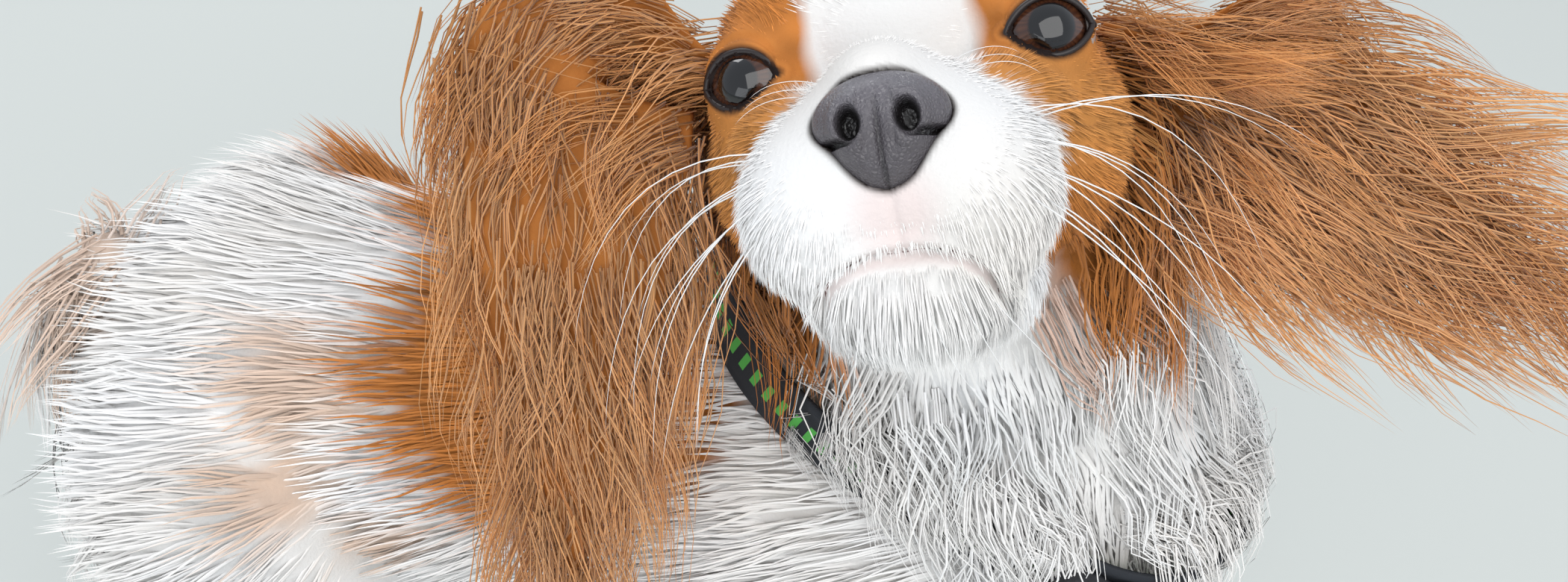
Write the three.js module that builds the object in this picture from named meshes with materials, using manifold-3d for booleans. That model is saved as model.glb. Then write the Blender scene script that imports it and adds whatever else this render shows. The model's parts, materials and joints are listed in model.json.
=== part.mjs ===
// A life-size cavalier king charles spaniel that stands and looks up over its right shoulder.
// Millimetres, +Z up. The body faces -Y, the dog's left side is +X, the floor is Z = 0.
import * as THREE from "three";
import { mergeVertices } from "three/addons/utils/BufferGeometryUtils.js";
import Module from "manifold-3d";

const wasm = await Module();
wasm.setup();

const V = (x, y, z) => new THREE.Vector3(x, y, z);

// Driving sizes
const GAP = 0.35; // what touching nodes keep between them
const EYE_MIDDLE = V(-22, 5, 392); // point between the eyeballs
const MUZZLE = V(-0.563, 0.125, 0.817).normalize(); // where the muzzle points
const HEAD_LEFT = V(0.145, -0.958, 0.247); // towards the dog's left ear
const EYE_APART = 55; // between the eyeball centres
const EYE_R = 11;
const LID_R = 12.6;
const EYE_OPEN = [17, 12]; // opening between the lids
const TORSO_SIDES = 22;
const TORSO_RINGS = 24;
const HEAD_SIDES = 24;
const HEAD_RINGS = 30;
const LEG_SIDES = 14;
const LEG_RINGS = 17;
const SHOULDER = V(44, -40, 200);
const ELBOW = V(46, -6, 150);
const WRIST = V(42, -34, 55);
const FORE_PAW = V(42, -56, 10.5);
const HIP = V(34, 185, 222);
const KNEE = V(50, 148, 142);
const HOCK = V(48, 226, 80);
const HIND_PAW = V(48, 208, 10.5);
const COLLAR_MIDDLE = V(0, -40, 262);
const COLLAR_UP = V(0, -0.42, 0.9).normalize();
const COLLAR_WIDE = 17;
const COLLAR_THICK = 2.4;

const COLOURS = {
  white: "#f4f3f2",
  chestnut: "#bf7a3e",
  nose: "#4a4448",
  eye: "#2b1b14",
  collar: "#33363c",
  buckle: "#1d1e22",
};

// Head frame
const HEAD_BACK = MUZZLE.clone().negate();
const HEAD_X = HEAD_LEFT.clone()
  .addScaledVector(MUZZLE, -HEAD_LEFT.dot(MUZZLE))
  .normalize();
const HEAD_UP = HEAD_X.clone().cross(HEAD_BACK);
// A point of the head frame (x to the dog's left, y back, z up) in the body's frame.
const headPoint = (x, y, z) =>
  EYE_MIDDLE.clone()
    .addScaledVector(HEAD_X, x)
    .addScaledVector(HEAD_BACK, y)
    .addScaledVector(HEAD_UP, z);

// Forms: distances in millimetres, negative inside
function ellipsoid(c, r, axes = [V(1, 0, 0), V(0, 1, 0), V(0, 0, 1)]) {
  return (p) => {
    const d = p.clone().sub(c);
    const q = axes.map((a) => a.dot(d));
    const k0 = Math.hypot(q[0] / r[0], q[1] / r[1], q[2] / r[2]);
    const k1 = Math.hypot(q[0] / r[0] ** 2, q[1] / r[1] ** 2, q[2] / r[2] ** 2);
    return k1 < 1e-9 ? -Math.min(...r) : (k0 * (k0 - 1)) / k1;
  };
}
const headEllipsoid = (x, y, z, r) =>
  ellipsoid(headPoint(x, y, z), r, [HEAD_X, HEAD_BACK, HEAD_UP]);

// A rounded cone from a to b.
function limb(a, b, ra, rb) {
  const ab = b.clone().sub(a);
  const len2 = ab.lengthSq();
  return (p) => {
    const t = THREE.MathUtils.clamp(p.clone().sub(a).dot(ab) / len2, 0, 1);
    return p.distanceTo(a.clone().addScaledVector(ab, t)) - (ra + (rb - ra) * t);
  };
}

// Joins forms with a soft crease about k wide.
function blend(k, forms) {
  return (p) =>
    forms
      .map((f) => f(p))
      .reduce((a, b) => {
        const h = Math.max(k - Math.abs(a - b), 0) / k;
        return Math.min(a, b) - (h * h * k) / 4;
      });
}

// Closed meshes
function solid(geometry) {
  const g = geometry.clone();
  g.deleteAttribute("normal");
  g.deleteAttribute("uv");
  const m = mergeVertices(g, 1e-4);
  return new wasm.Manifold(
    new wasm.Mesh({
      numProp: 3,
      vertProperties: Float32Array.from(m.attributes.position.array),
      triVerts: Uint32Array.from(m.index.array),
    }),
  );
}

// A sphere whose points are pushed out from an axis until they meet a form.
function skin({ form, path, sides, rings, across, offset = 0, caps = 0.22, far = 160 }) {
  const g = new THREE.SphereGeometry(1, sides, rings);
  const axis = path[0].clone().sub(path[path.length - 1]).normalize();
  const x1 = across.clone().addScaledVector(axis, -across.dot(axis)).normalize();
  const x2 = x1.clone().cross(axis);
  const along = (t) => {
    const f = t * (path.length - 1);
    const i = Math.min(Math.floor(f), path.length - 2);
    return path[i].clone().lerp(path[i + 1], f - i);
  };
  const pos = g.attributes.position;
  for (let n = 0; n < pos.count; n++) {
    const p = V(pos.getX(n), pos.getY(n), pos.getZ(n));
    const s = Math.acos(THREE.MathUtils.clamp(p.y, -1, 1)) / Math.PI;
    const turn = Math.atan2(p.z, p.x);
    const t = THREE.MathUtils.clamp((s - caps) / (1 - 2 * caps), 0, 1);
    let tilt = Math.PI / 2;
    if (s < caps) tilt = (s / caps) * (Math.PI / 2);
    if (s > 1 - caps) tilt = Math.PI - ((1 - s) / caps) * (Math.PI / 2);
    const from = along(t);
    const dir = axis
      .clone()
      .multiplyScalar(Math.cos(tilt))
      .addScaledVector(x1, Math.cos(turn) * Math.sin(tilt))
      .addScaledVector(x2, Math.sin(turn) * Math.sin(tilt))
      .normalize();
    const r = reach(form, from, dir, offset, far);
    from.addScaledVector(dir, r);
    pos.setXYZ(n, from.x, from.y, from.z);
  }
  return solid(g);
}

// How far a ray runs inside a form.
function reach(form, from, dir, offset = 0, far = 160) {
  let low = 0;
  let high = 0;
  const at = (r) => form(from.clone().addScaledVector(dir, r)) - offset;
  while (high < far && at(high) < 0) {
    low = high;
    high += 2;
  }
  for (let i = 0; i < 14; i++) {
    const mid = (low + high) / 2;
    if (at(mid) < 0) low = mid;
    else high = mid;
  }
  return (low + high) / 2;
}

// A flat tapered blade of a few sides along a curve, from its root to a pointed tip.
function blade(points, width, thick, side, segments = 5, sides = 4, grow = 0) {
  const curve = new THREE.CatmullRomCurve3(points);
  const g = new THREE.CylinderGeometry(0, 1, 1, sides, segments);
  const pos = g.attributes.position;
  for (let n = 0; n < pos.count; n++) {
    const t = pos.getY(n) + 0.5;
    const turn = Math.atan2(pos.getX(n), pos.getZ(n));
    const full = pos.getX(n) ** 2 + pos.getZ(n) ** 2 > 1e-9;
    const c = curve.getPoint(t);
    const along = curve.getTangent(t);
    const flat = typeof side === "function" ? side(t) : side;
    const s = flat.clone().addScaledVector(along, -flat.dot(along)).normalize();
    const up = s.clone().cross(along);
    if (full || t < 1e-6) {
      const r = full ? 1 : 0;
      c.addScaledVector(s, Math.sin(turn) * r * (width(t) / 2 + grow));
      c.addScaledVector(up, Math.cos(turn) * r * (thick(t) / 2 + grow));
    }
    if (t > 0.999) c.addScaledVector(along, grow);
    if (t < 0.001) c.addScaledVector(along, -grow);
    pos.setXYZ(n, c.x, c.y, c.z);
  }
  return solid(g);
}

const mirror = (v, side) => V(v.x * side, v.y, v.z);

// The body's forms
const torsoForm = blend(22, [
  ellipsoid(V(0, -50, 222), [50, 40, 60]),
  ellipsoid(V(0, 20, 230), [60, 92, 68]),
  ellipsoid(V(0, 125, 228), [54, 76, 57]),
  ellipsoid(V(0, 182, 226), [54, 58, 56]),
]);
const neckForm = blend(16, [
  limb(V(0, -36, 262), V(-6, -10, 330), 50, 42),
  limb(V(-6, -10, 330), V(2, 0, 356), 42, 40),
]);
const headForm = blend(9, [
  headEllipsoid(0, 38, 6, [43, 46, 36]),
  headEllipsoid(0, 12, 12, [29, 24, 21]),
  ...[-1, 1].flatMap((s) => [
    headEllipsoid(s * 29, 24, -14, [18, 30, 26]),
    headEllipsoid(s * 22, 4, 13, [14, 11, 9]),
    headEllipsoid(s * 19, -7, -15, [14, 17, 12]),
    headEllipsoid(s * 14, -25, -33, [15, 19, 16]),
  ]),
  headEllipsoid(0, -20, -13, [12, 25, 11]),
  headEllipsoid(0, -21, -26, [24, 25, 17]),
  headEllipsoid(0, -13, -49, [18, 21, 9]),
  headEllipsoid(0, 16, -42, [26, 36, 16]),
]);
const noseForm = blend(4, [
  headEllipsoid(0.8, -41.5, -21, [11.6, 7, 7.6]),
  headEllipsoid(0.8, -42, -27, [6.5, 6, 6]),
]);
const legForms = [-1, 1].flatMap((s) => [
  {
    name: s < 0 ? "leg_front_right" : "leg_front_left",
    side: s,
    form: blend(12, [
      limb(mirror(SHOULDER, s), mirror(ELBOW, s), 31, 24),
      limb(mirror(ELBOW, s), mirror(WRIST, s), 23, 13.5),
      limb(mirror(WRIST, s), mirror(V(42, -44, 20), s), 13.5, 13),
      ellipsoid(mirror(FORE_PAW, s), [17, 25, 14]),
      ...[-9, -3, 3, 9].map((x) =>
        ellipsoid(mirror(V(42 + x, -73 - (Math.abs(x) < 5 ? 4 : 0), 9), s), [6, 9, 9]),
      ),
    ]),
    path: [V(44, -34, 205), V(45, -12, 150), V(42, -34, 60), V(42, -50, 12)],
  },
  {
    name: s < 0 ? "leg_hind_right" : "leg_hind_left",
    side: s,
    form: blend(14, [
      limb(mirror(HIP, s), mirror(KNEE, s), 44, 30),
      limb(mirror(KNEE, s), mirror(HOCK, s), 28, 14),
      limb(mirror(HOCK, s), mirror(V(48, 222, 20), s), 13.5, 13),
      ellipsoid(mirror(HIND_PAW, s), [17, 26, 14]),
      ...[-9, -3, 3, 9].map((x) =>
        ellipsoid(mirror(V(48 + x, 190 - (Math.abs(x) < 5 ? 4 : 0), 9), s), [6, 9, 9]),
      ),
    ]),
    path: [V(38, 180, 222), V(48, 165, 150), V(48, 205, 95), V(48, 221, 60), V(48, 212, 12)],
  },
]);
const tailForm = blend(8, [
  limb(V(0, 226, 258), V(0, 246, 232), 15, 12),
  limb(V(0, 246, 232), V(-2, 254, 180), 12, 9),
  limb(V(-2, 254, 180), V(-3, 250, 128), 9, 6),
]);

// Cuts a form off flat at the floor.
const onFloor = (form) => (p) => Math.max(form(p), -p.z);

const bodyParts = [
  {
    name: "torso",
    form: torsoForm,
    path: [V(0, -46, 226), V(0, 20, 230), V(0, 125, 230), V(0, 190, 227)],
    across: V(1, 0, 0),
    sides: TORSO_SIDES,
    rings: TORSO_RINGS,
    colour: COLOURS.white,
  },
  {
    name: "neck",
    form: neckForm,
    path: [V(0, 0, 352), V(-6, -10, 330), V(0, -30, 268)],
    across: V(1, 0, 0),
    sides: 20,
    rings: 12,
    colour: COLOURS.white,
  },
  {
    name: "head",
    form: headForm,
    path: [headPoint(0, 44, 2), headPoint(0, 20, -4), headPoint(0, 0, -12), headPoint(0, -22, -28)],
    across: HEAD_X,
    sides: HEAD_SIDES,
    rings: HEAD_RINGS,
    colour: COLOURS.chestnut,
  },
  {
    name: "tail",
    form: tailForm,
    path: [V(0, 240, 246), V(0, 250, 215), V(-2, 254, 180), V(-3, 251, 132)],
    across: V(1, 0, 0),
    sides: 10,
    rings: 12,
    colour: COLOURS.white,
  },
  ...legForms.map(({ name, side, form, path }) => ({
    name,
    form: onFloor(form),
    path: path.map((v) => mirror(v, side)),
    across: V(1, 0, 0),
    sides: LEG_SIDES,
    rings: LEG_RINGS,
    caps: 0.15,
    colour: COLOURS.white,
  })),
];
const whole = Object.fromEntries(bodyParts.map((b) => [b.name, skin(b)]));
const swollen = Object.fromEntries(
  bodyParts.map((b) => [b.name, skin({ ...b, offset: GAP })]),
);

// Joins and cuts
const nodes = new Map();
const largest = (m) =>
  m.decompose().reduce((a, b) => (a.volume() > b.volume() ? a : b));

nodes.set("torso", [whole.torso, COLOURS.white]);
nodes.set("neck", [
  whole.neck.subtract(swollen.torso).subtract(swollen.head),
  COLOURS.white,
]);
nodes.set("tail", [whole.tail.subtract(swollen.torso), COLOURS.white]);
for (const { name } of legForms)
  nodes.set(name, [whole[name].subtract(swollen.torso), COLOURS.white]);

// Eyes sit in round sockets behind lids with an almond opening.
const almond = new THREE.Shape();
almond.moveTo(-EYE_OPEN[0] / 2, -0.6);
almond.bezierCurveTo(-4.5, EYE_OPEN[1] * 0.62, 4.5, EYE_OPEN[1] * 0.62, EYE_OPEN[0] / 2, 0.2);
almond.bezierCurveTo(4.5, -EYE_OPEN[1] * 0.66, -4.5, -EYE_OPEN[1] * 0.66, -EYE_OPEN[0] / 2, -0.6);
const eyeForms = [-1, 1].map((s) => {
  const middle = headPoint((s * EYE_APART) / 2, 0, 0);
  const out = MUZZLE.clone()
    .addScaledVector(HEAD_X, s * 0.28)
    .addScaledVector(HEAD_UP, -0.08)
    .normalize();
  const x = HEAD_X.clone().addScaledVector(out, -HEAD_X.dot(out)).normalize();
  const place = (g) =>
    g.applyMatrix4(
      new THREE.Matrix4().makeBasis(x, out.clone().cross(x), out).setPosition(middle),
    );
  const ball = (r, w, h) => solid(place(new THREE.SphereGeometry(r, w, h).rotateX(Math.PI / 2)));
  return {
    name: s < 0 ? "eye_right" : "eye_left",
    ball: ball(EYE_R, 16, 9),
    socket: ball(EYE_R + GAP + 0.15, 16, 9),
    lid: ball(LID_R, 16, 9),
    lidRoom: ball(LID_R + GAP + 0.1, 16, 9),
    opening: solid(
      place(
        new THREE.ExtrudeGeometry(almond, { depth: 14, bevelEnabled: false, curveSegments: 4 })
          .translate(0, 0, 5),
      ),
    ),
  };
});
const nosePart = {
  form: noseForm,
  path: [headPoint(0.8, -41, -19), headPoint(0.8, -41.5, -24), headPoint(0.8, -42, -28.5)],
  across: HEAD_X,
  sides: 12,
  rings: 9,
  caps: 0.3,
};
const headBlob = (x, y, z, r, w = 6, h = 5) =>
  solid(
    new THREE.SphereGeometry(1, w, h)
      .scale(...r)
      .applyMatrix4(
        new THREE.Matrix4().makeBasis(HEAD_X, HEAD_BACK, HEAD_UP).setPosition(headPoint(x, y, z)),
      ),
  );
let nose = skin(nosePart);
for (const s of [-1, 1])
  nose = nose
    .subtract(headBlob(0.8 + s * 5, -47.5, -22.5, [2.4, 4, 2.8]))
    .subtract(headBlob(0.8 + s * 8.6, -45, -21.1, [3, 4, 1.2]));
nose = nose.subtract(headBlob(0.8, -48.6, -28, [0.7, 2.4, 6]));
nodes.set("nose", [nose, COLOURS.nose]);

let head = whole.head;
for (const e of eyeForms) {
  head = head.add(e.lid);
  swollen.head = swollen.head.add(e.lidRoom);
}
for (const e of eyeForms) head = head.subtract(e.opening).subtract(e.socket);
head = head.subtract(skin({ ...nosePart, offset: GAP }));

// The line of the mouth: down from the nose, then out and down to each corner.
const lipPoint = (x, z) => {
  const from = headPoint(x * 0.5, -4, z);
  const dir = headPoint(x, -30, z).sub(from).normalize();
  return from.addScaledVector(dir, reach(headForm, from, dir));
};
for (const s of [-1, 1]) {
  const line = [
    lipPoint(s * 0.2, -36),
    lipPoint(s * 1.5, -43),
    lipPoint(s * 8, -45.5),
    lipPoint(s * 15, -48),
    lipPoint(s * 21, -52),
  ];
  head = head.subtract(
    blade(line, (t) => 2.2 * (1 - 0.5 * t), () => 3.2, HEAD_UP, 5),
  );
}
nodes.set("head", [head, COLOURS.chestnut]);
for (const e of eyeForms) nodes.set(e.name, [e.ball, COLOURS.eye]);

// Collar
const collarX = V(1, 0, 0);
const collarY = COLLAR_UP.clone().cross(collarX).normalize();
const throat = (p) => Math.min(neckForm(p), torsoForm(p));
// A point of the collar: turn round the neck, height across the band, distance off the coat's core.
function collarPoint(turn, rise, off) {
  const from = COLLAR_MIDDLE.clone().addScaledVector(COLLAR_UP, rise);
  const dir = collarX
    .clone()
    .multiplyScalar(Math.cos(turn))
    .addScaledVector(collarY, Math.sin(turn));
  const ends = [-1, 0, 1].map((k) =>
    reach(
      throat,
      COLLAR_MIDDLE.clone().addScaledVector(COLLAR_UP, (k * COLLAR_WIDE) / 2),
      dir,
    ),
  );
  return from.addScaledVector(dir, Math.max(...ends) + off);
}
function strapBand(more) {
  const band = new THREE.TorusGeometry(1, 0.5, 4, 40);
  const pos = band.attributes.position;
  // the four corners of the torus tube turned into a flat strap
  const corners = { 0: [1, -1], 1: [1, 1], 2: [0, 1], "-2": [0, 1], "-1": [0, -1] };
  for (let n = 0; n < pos.count; n++) {
    const turn = Math.atan2(pos.getY(n), pos.getX(n));
    const out = Math.hypot(pos.getX(n), pos.getY(n)) - 1;
    const [o, r] = corners[Math.round((Math.atan2(pos.getZ(n), out) / Math.PI) * 2)];
    const p = collarPoint(
      turn,
      r * (COLLAR_WIDE / 2 + more),
      0.6 + o * COLLAR_THICK + (o ? more : -more),
    );
    pos.setXYZ(n, p.x, p.y, p.z);
  }
  return band;
}
nodes.set("collar", [solid(strapBand(0)), COLOURS.collar]);
// The clasp sits on the band.
function onBand(geometry, turn, wide, high, thick, off) {
  const pos = geometry.attributes.position;
  for (let n = 0; n < pos.count; n++) {
    const p = collarPoint(
      turn + (pos.getX(n) * wide) / 56,
      pos.getY(n) * high,
      0.6 + COLLAR_THICK + off + (pos.getZ(n) + 0.5) * thick,
    );
    pos.setXYZ(n, p.x, p.y, p.z);
  }
  return solid(geometry);
}
const CLASP_TURN = Math.PI + 0.35;
nodes.set("collar_clasp", [
  onBand(new THREE.BoxGeometry(1, 1, 1, 6, 1, 1), CLASP_TURN, 30, 15, 5, 0.35),
  COLOURS.buckle,
]);

// Ears
const EAR_RIGHT = [
  headPoint(-38, 34, 8),
  V(-18, 68, 380),
  V(-34, 70, 364),
  V(-50, 70, 340),
  V(-64, 70, 305),
  V(-76, 69, 268),
];
const EAR_LEFT = [
  headPoint(38, 34, 8),
  V(4, -56, 372),
  V(-2, -76, 364),
  V(-6, -98, 356),
  V(-11, -124, 347),
];
const earWidth = (t) => 30 + 20 * Math.sin(Math.PI * Math.min(1, t * 1.05) ** 0.8);
const earThick = (t) => 6 + 4 * Math.sin(Math.PI * t);
const ears = [
  ["ear_right", EAR_RIGHT, V(0.15, 0.98, 0.1)],
  ["ear_left", EAR_LEFT, V(0.754, 0.133, 0.643)],
].map(([name, points, spread]) => {
  // Each ear is rooted along the side of the skull and turns broadside as it leaves it.
  const side = (t) =>
    MUZZLE.clone().lerp(spread, THREE.MathUtils.smoothstep(t, 0.08, 0.36));
  const make = (grow) =>
    blade(points, earWidth, earThick, side, 12, 8, grow);
  return { name, core: make(0), swollen: make(GAP) };
});
for (const e of ears) {
  nodes.set(e.name, [
    e.core.subtract(swollen.head).subtract(swollen.neck).subtract(swollen.torso),
    COLOURS.chestnut,
  ]);
  swollen[e.name] = e.swollen;
}

// Long coat
let seed = 20;
const draw = () => {
  seed = (seed * 1664525 + 1013904223) % 4294967296;
  return seed / 4294967296;
};
const vary = (a) => (draw() * 2 - 1) * a;
const DOWN = V(0, 0, -1);
const formOf = Object.fromEntries(bodyParts.map((b) => [b.name, b.form]));
const strap = (p) => {
  const d = p.clone().sub(COLLAR_MIDDLE);
  const rise = Math.abs(d.dot(COLLAR_UP)) - COLLAR_WIDE / 2;
  return Math.max(rise, throat(p) - 8);
};
const slope = (form, p) => {
  const d = form(p);
  return V(
    form(p.clone().add(V(0.5, 0, 0))) - d,
    form(p.clone().add(V(0, 0.5, 0))) - d,
    form(p.clone().add(V(0, 0, 0.5))) - d,
  ).normalize();
};

// One flat lock: rooted under the surface, laid along it, hanging more towards its tip and
// pushed clear of every other part.
function lock(owner, { root, out, lie, length, width, thick = 3.4, droop = 0.12, lift = 0.25 }) {
  const steps = 5;
  const step = length / steps;
  const points = [root.clone().addScaledVector(out, -5)];
  const dir = lie.clone().addScaledVector(out, lift).normalize();
  const side = out.clone().cross(lie).normalize();
  const wave = vary(0.3);
  let p = root.clone().addScaledVector(out, 0.8);
  for (let i = 0; i < steps; i++) {
    dir.addScaledVector(DOWN, droop).addScaledVector(side, wave * Math.cos(i * 1.4)).normalize();
    p = p.clone().addScaledVector(dir, step);
    for (let again = 0; again < 3; again++)
      for (const [name, form] of [...Object.entries(formOf), ["strap", strap]]) {
        const clear = name === owner ? 0.4 : 3.2 + thick / 2;
        const d = form(p);
        if (d < clear) p.addScaledVector(slope(form, p), clear - d);
      }
    p.z = Math.max(p.z, 4);
    points.push(p);
  }
  const make = (grow) =>
    blade(
      points,
      (t) => width * (0.72 + 0.5 * Math.sin(Math.PI * Math.min(1, t * 1.25))) * (1 - 0.45 * t),
      (t) => thick * (1 - 0.5 * t),
      side,
      4,
      4,
      grow,
    );
  return { fine: make(0), room: make(GAP) };
}
// A lock whose root is found by a ray from inside the part that it grows on.
const rooted = (owner, from, dir, more) => {
  const form = formOf[owner];
  const d = dir.clone().normalize();
  const root = from.clone().addScaledVector(d, reach(form, from, d));
  return lock(owner, { root, out: slope(form, root), ...more });
};

const coat = {};
const grow = (owner, made) => (coat[owner] ??= []).push(made);

// ears: locks along the flap and off its end
for (const [name, points, spread, count] of [
  ["ear_right", EAR_RIGHT, V(0.15, 0.98, 0.1), 13],
  ["ear_left", EAR_LEFT, V(0.754, 0.133, 0.643), 13],
]) {
  const curve = new THREE.CatmullRomCurve3(points);
  const blown = name === "ear_left";
  for (let i = 0; i < count; i++) {
    const row = i / (count - 1);
    const t = 0.3 + 0.62 * row;
    const across = (((i * 7) % count) / (count - 1)) * 2 - 1;
    const along = curve.getTangent(t);
    const side = spread.clone().addScaledVector(along, -spread.dot(along)).normalize();
    const outer = i % 2 === 1;
    const out = side.clone().cross(along).normalize().multiplyScalar(outer ? 1 : -1);
    const root = curve.getPoint(t).addScaledVector(side, across * earWidth(t) * 0.3);
    const lie = along.clone().addScaledVector(side, across * 0.35);
    grow(
      name,
      lock(name, {
        root,
        out,
        lie,
        length: 62 + 22 * row + vary(8),
        width: 21 + vary(3),
        droop: blown ? 0.035 : 0.05,
        lift: outer && !blown ? 0.42 : 0.12,
      }),
    );
  }
}
// chest: a bib of locks below the collar
for (const [height, count] of [[234, 6], [212, 7], [190, 6], [174, 3]])
  for (let i = 0; i < count; i++) {
    const turn = ((i / (count - 1)) * 2 - 1) * 1.05 + vary(0.06);
    grow(
      "torso",
      rooted("torso", V(0, -50, height), V(Math.sin(turn), -Math.cos(turn), 0), {
        lie: V(Math.sin(turn) * 0.3, -0.12, -0.95),
        length: 44 + vary(7),
        width: 19 + vary(2),
        lift: 0.42,
        droop: 0.05,
      }),
    );
  }
// belly fringe
for (let i = 0; i < 9; i++) {
  const s = (i % 3) - 1;
  grow(
    "torso",
    rooted("torso", V(s * 16, 15 + i * 14, 222), V(s * 0.25, 0, -1), {
      lie: V(s * 0.1, 0.55, -0.7),
      length: 38 + vary(6),
      width: 20 + vary(2),
      lift: 0.5,
      droop: 0.05,
    }),
  );
}
// ruff under the throat and down the sides of the neck
for (let i = 0; i < 10; i++) {
  const turn = ((i / 9) * 2 - 1) * 2.1 - 0.35;
  grow(
    "neck",
    rooted("neck", V(-4, -18, 312 + (i % 2) * 12), V(Math.sin(turn), -Math.cos(turn), 0), {
      lie: V(Math.sin(turn) * 0.25, -Math.cos(turn) * 0.25, -0.95),
      length: 32 + vary(4),
      width: 20 + vary(2),
      lift: 0.4,
      droop: 0.02,
    }),
  );
}
// feathering behind the forelegs, breeches behind the thighs
for (const { name, side } of legForms) {
  const fore = name.includes("front");
  const count = fore ? 7 : 8;
  for (let i = 0; i < count; i++) {
    const f = i / (count - 1);
    const from = fore
      ? mirror(V(44, -20 - 14 * f, 150 - 92 * f), side)
      : mirror(V(46, 180 + 26 * Math.min(1, f * 1.6), 205 - 118 * f), side);
    grow(
      name,
      rooted(name, from, V(side * (i % 2 ? 0.35 : -0.25) * (fore ? 1 : 0.6), 1, 0), {
        lie: V(side * 0.06, 0.42, -0.85),
        length: (fore ? 36 : 42) + vary(5),
        width: 15 + vary(2),
        lift: 0.35,
        droop: 0.06,
      }),
    );
  }
}
// tail plume
for (let i = 0; i < 13; i++) {
  const f = i / 12;
  const s = (i % 3) - 1;
  grow(
    "tail",
    rooted("tail", V(-2 * f, 249 + 3 * f, 226 - 88 * f), V(s, s === 0 ? 1 : 0.5, 0), {
      lie: V(s * 0.3, 0.16, -0.9),
      length: 58 + vary(8),
      width: 15 + vary(2),
      lift: 0.2,
      droop: 0.05,
    }),
  );
}

// Locks are cut clear of the other parts and of the locks made before them, then fused.
swollen.collar = solid(strapBand(GAP));
swollen.clasp = onBand(new THREE.BoxGeometry(1, 1, 1, 6, 1, 1), CLASP_TURN, 31, 16, 6, 0);
for (const e of eyeForms) swollen[e.name] = e.socket;
const taken = [];
for (const [owner, made] of Object.entries(coat)) {
  const others = Object.entries(swollen)
    .filter(([name]) => name !== owner)
    .map(([, m]) => m);
  let locks = wasm.Manifold.union(made.map((l) => l.fine));
  for (const m of [...others, ...taken]) locks = locks.subtract(m);
  const [body, colour] = nodes.get(owner);
  nodes.set(owner, [body.add(locks), colour]);
  taken.push(wasm.Manifold.union(made.map((l) => l.room)));
}

// The scene graph
const dog = new THREE.Group();
dog.name = "dog";
const box = new THREE.Box3();
for (const [name, [made, colour]] of nodes) {
  const m = largest(made).getMesh();
  const g = new THREE.BufferGeometry()
    .setAttribute("position", new THREE.BufferAttribute(Float32Array.from(m.vertProperties), 3))
    .setIndex(new THREE.BufferAttribute(Uint32Array.from(m.triVerts), 1));
  g.computeVertexNormals();
  g.computeBoundingBox();
  box.union(g.boundingBox);
  const mesh = new THREE.Mesh(
    g,
    new THREE.MeshStandardMaterial({
      color: colour,
      roughness: name.startsWith("eye") ? 0.08 : 0.8,
      metalness: 0,
    }),
  );
  mesh.name = name;
  dog.add(mesh);
}
// The origin is the middle of the whole box at floor height.
dog.position.set(
  -Math.round((box.min.x + box.max.x) / 2),
  -Math.round((box.min.y + box.max.y) / 2),
  0,
);

export default dog;
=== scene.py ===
# %% [markdown]
# # A standing spaniel that looks up at the camera
#
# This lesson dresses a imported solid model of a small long-coated dog. The solids carry the size,
# the stance and the outline. Here they get one seamless skin, wet eyes, a pebbled nose, a woven
# collar and a coat of many thousand small closed tufts.

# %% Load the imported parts
import json
from math import cos, pi, radians, sin, tau

import bpy
import numpy as np
from mathutils import Matrix, Vector

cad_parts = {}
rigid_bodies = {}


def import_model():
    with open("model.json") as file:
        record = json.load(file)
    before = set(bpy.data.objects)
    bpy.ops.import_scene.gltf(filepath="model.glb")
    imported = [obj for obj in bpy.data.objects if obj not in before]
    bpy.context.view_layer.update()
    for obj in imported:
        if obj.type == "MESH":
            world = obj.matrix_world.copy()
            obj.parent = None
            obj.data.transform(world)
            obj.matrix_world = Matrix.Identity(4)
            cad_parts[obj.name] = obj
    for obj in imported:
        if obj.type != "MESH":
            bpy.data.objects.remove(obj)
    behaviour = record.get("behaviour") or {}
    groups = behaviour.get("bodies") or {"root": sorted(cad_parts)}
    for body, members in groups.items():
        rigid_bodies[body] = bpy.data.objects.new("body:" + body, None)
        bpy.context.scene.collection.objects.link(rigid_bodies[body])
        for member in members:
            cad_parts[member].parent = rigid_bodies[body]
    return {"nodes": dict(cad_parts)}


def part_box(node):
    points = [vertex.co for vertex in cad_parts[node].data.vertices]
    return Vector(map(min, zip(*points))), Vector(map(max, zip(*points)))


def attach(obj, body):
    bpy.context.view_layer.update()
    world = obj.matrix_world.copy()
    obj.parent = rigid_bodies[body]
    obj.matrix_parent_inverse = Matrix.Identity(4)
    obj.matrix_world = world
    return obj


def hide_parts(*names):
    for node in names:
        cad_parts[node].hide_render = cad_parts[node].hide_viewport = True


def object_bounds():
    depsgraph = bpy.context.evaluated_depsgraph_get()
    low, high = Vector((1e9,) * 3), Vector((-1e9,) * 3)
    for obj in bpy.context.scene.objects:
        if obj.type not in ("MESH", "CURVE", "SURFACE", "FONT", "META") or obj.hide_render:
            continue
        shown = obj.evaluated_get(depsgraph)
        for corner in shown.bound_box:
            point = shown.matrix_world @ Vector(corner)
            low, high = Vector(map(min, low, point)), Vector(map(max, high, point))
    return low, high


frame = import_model()
cad_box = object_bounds()
rng = np.random.default_rng(11)
MM = 0.001
print("parts:", sorted(frame["nodes"]))

# %% [markdown]
# Sizes are given in millimetres in the dog's own frame: it stands on z = 0, faces -y, and its
# left side is +x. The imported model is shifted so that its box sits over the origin, and one eye
# tells by how much. The head has a frame of its own, because it is turned and tipped back: x to
# the dog's left, y towards the nape and z up out of the skull, from the point between the eyes.

# %% Frames of the body and the head
def unit(v):
    v = np.asarray(v, float)
    return v / np.linalg.norm(v, axis=-1, keepdims=True)


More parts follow.
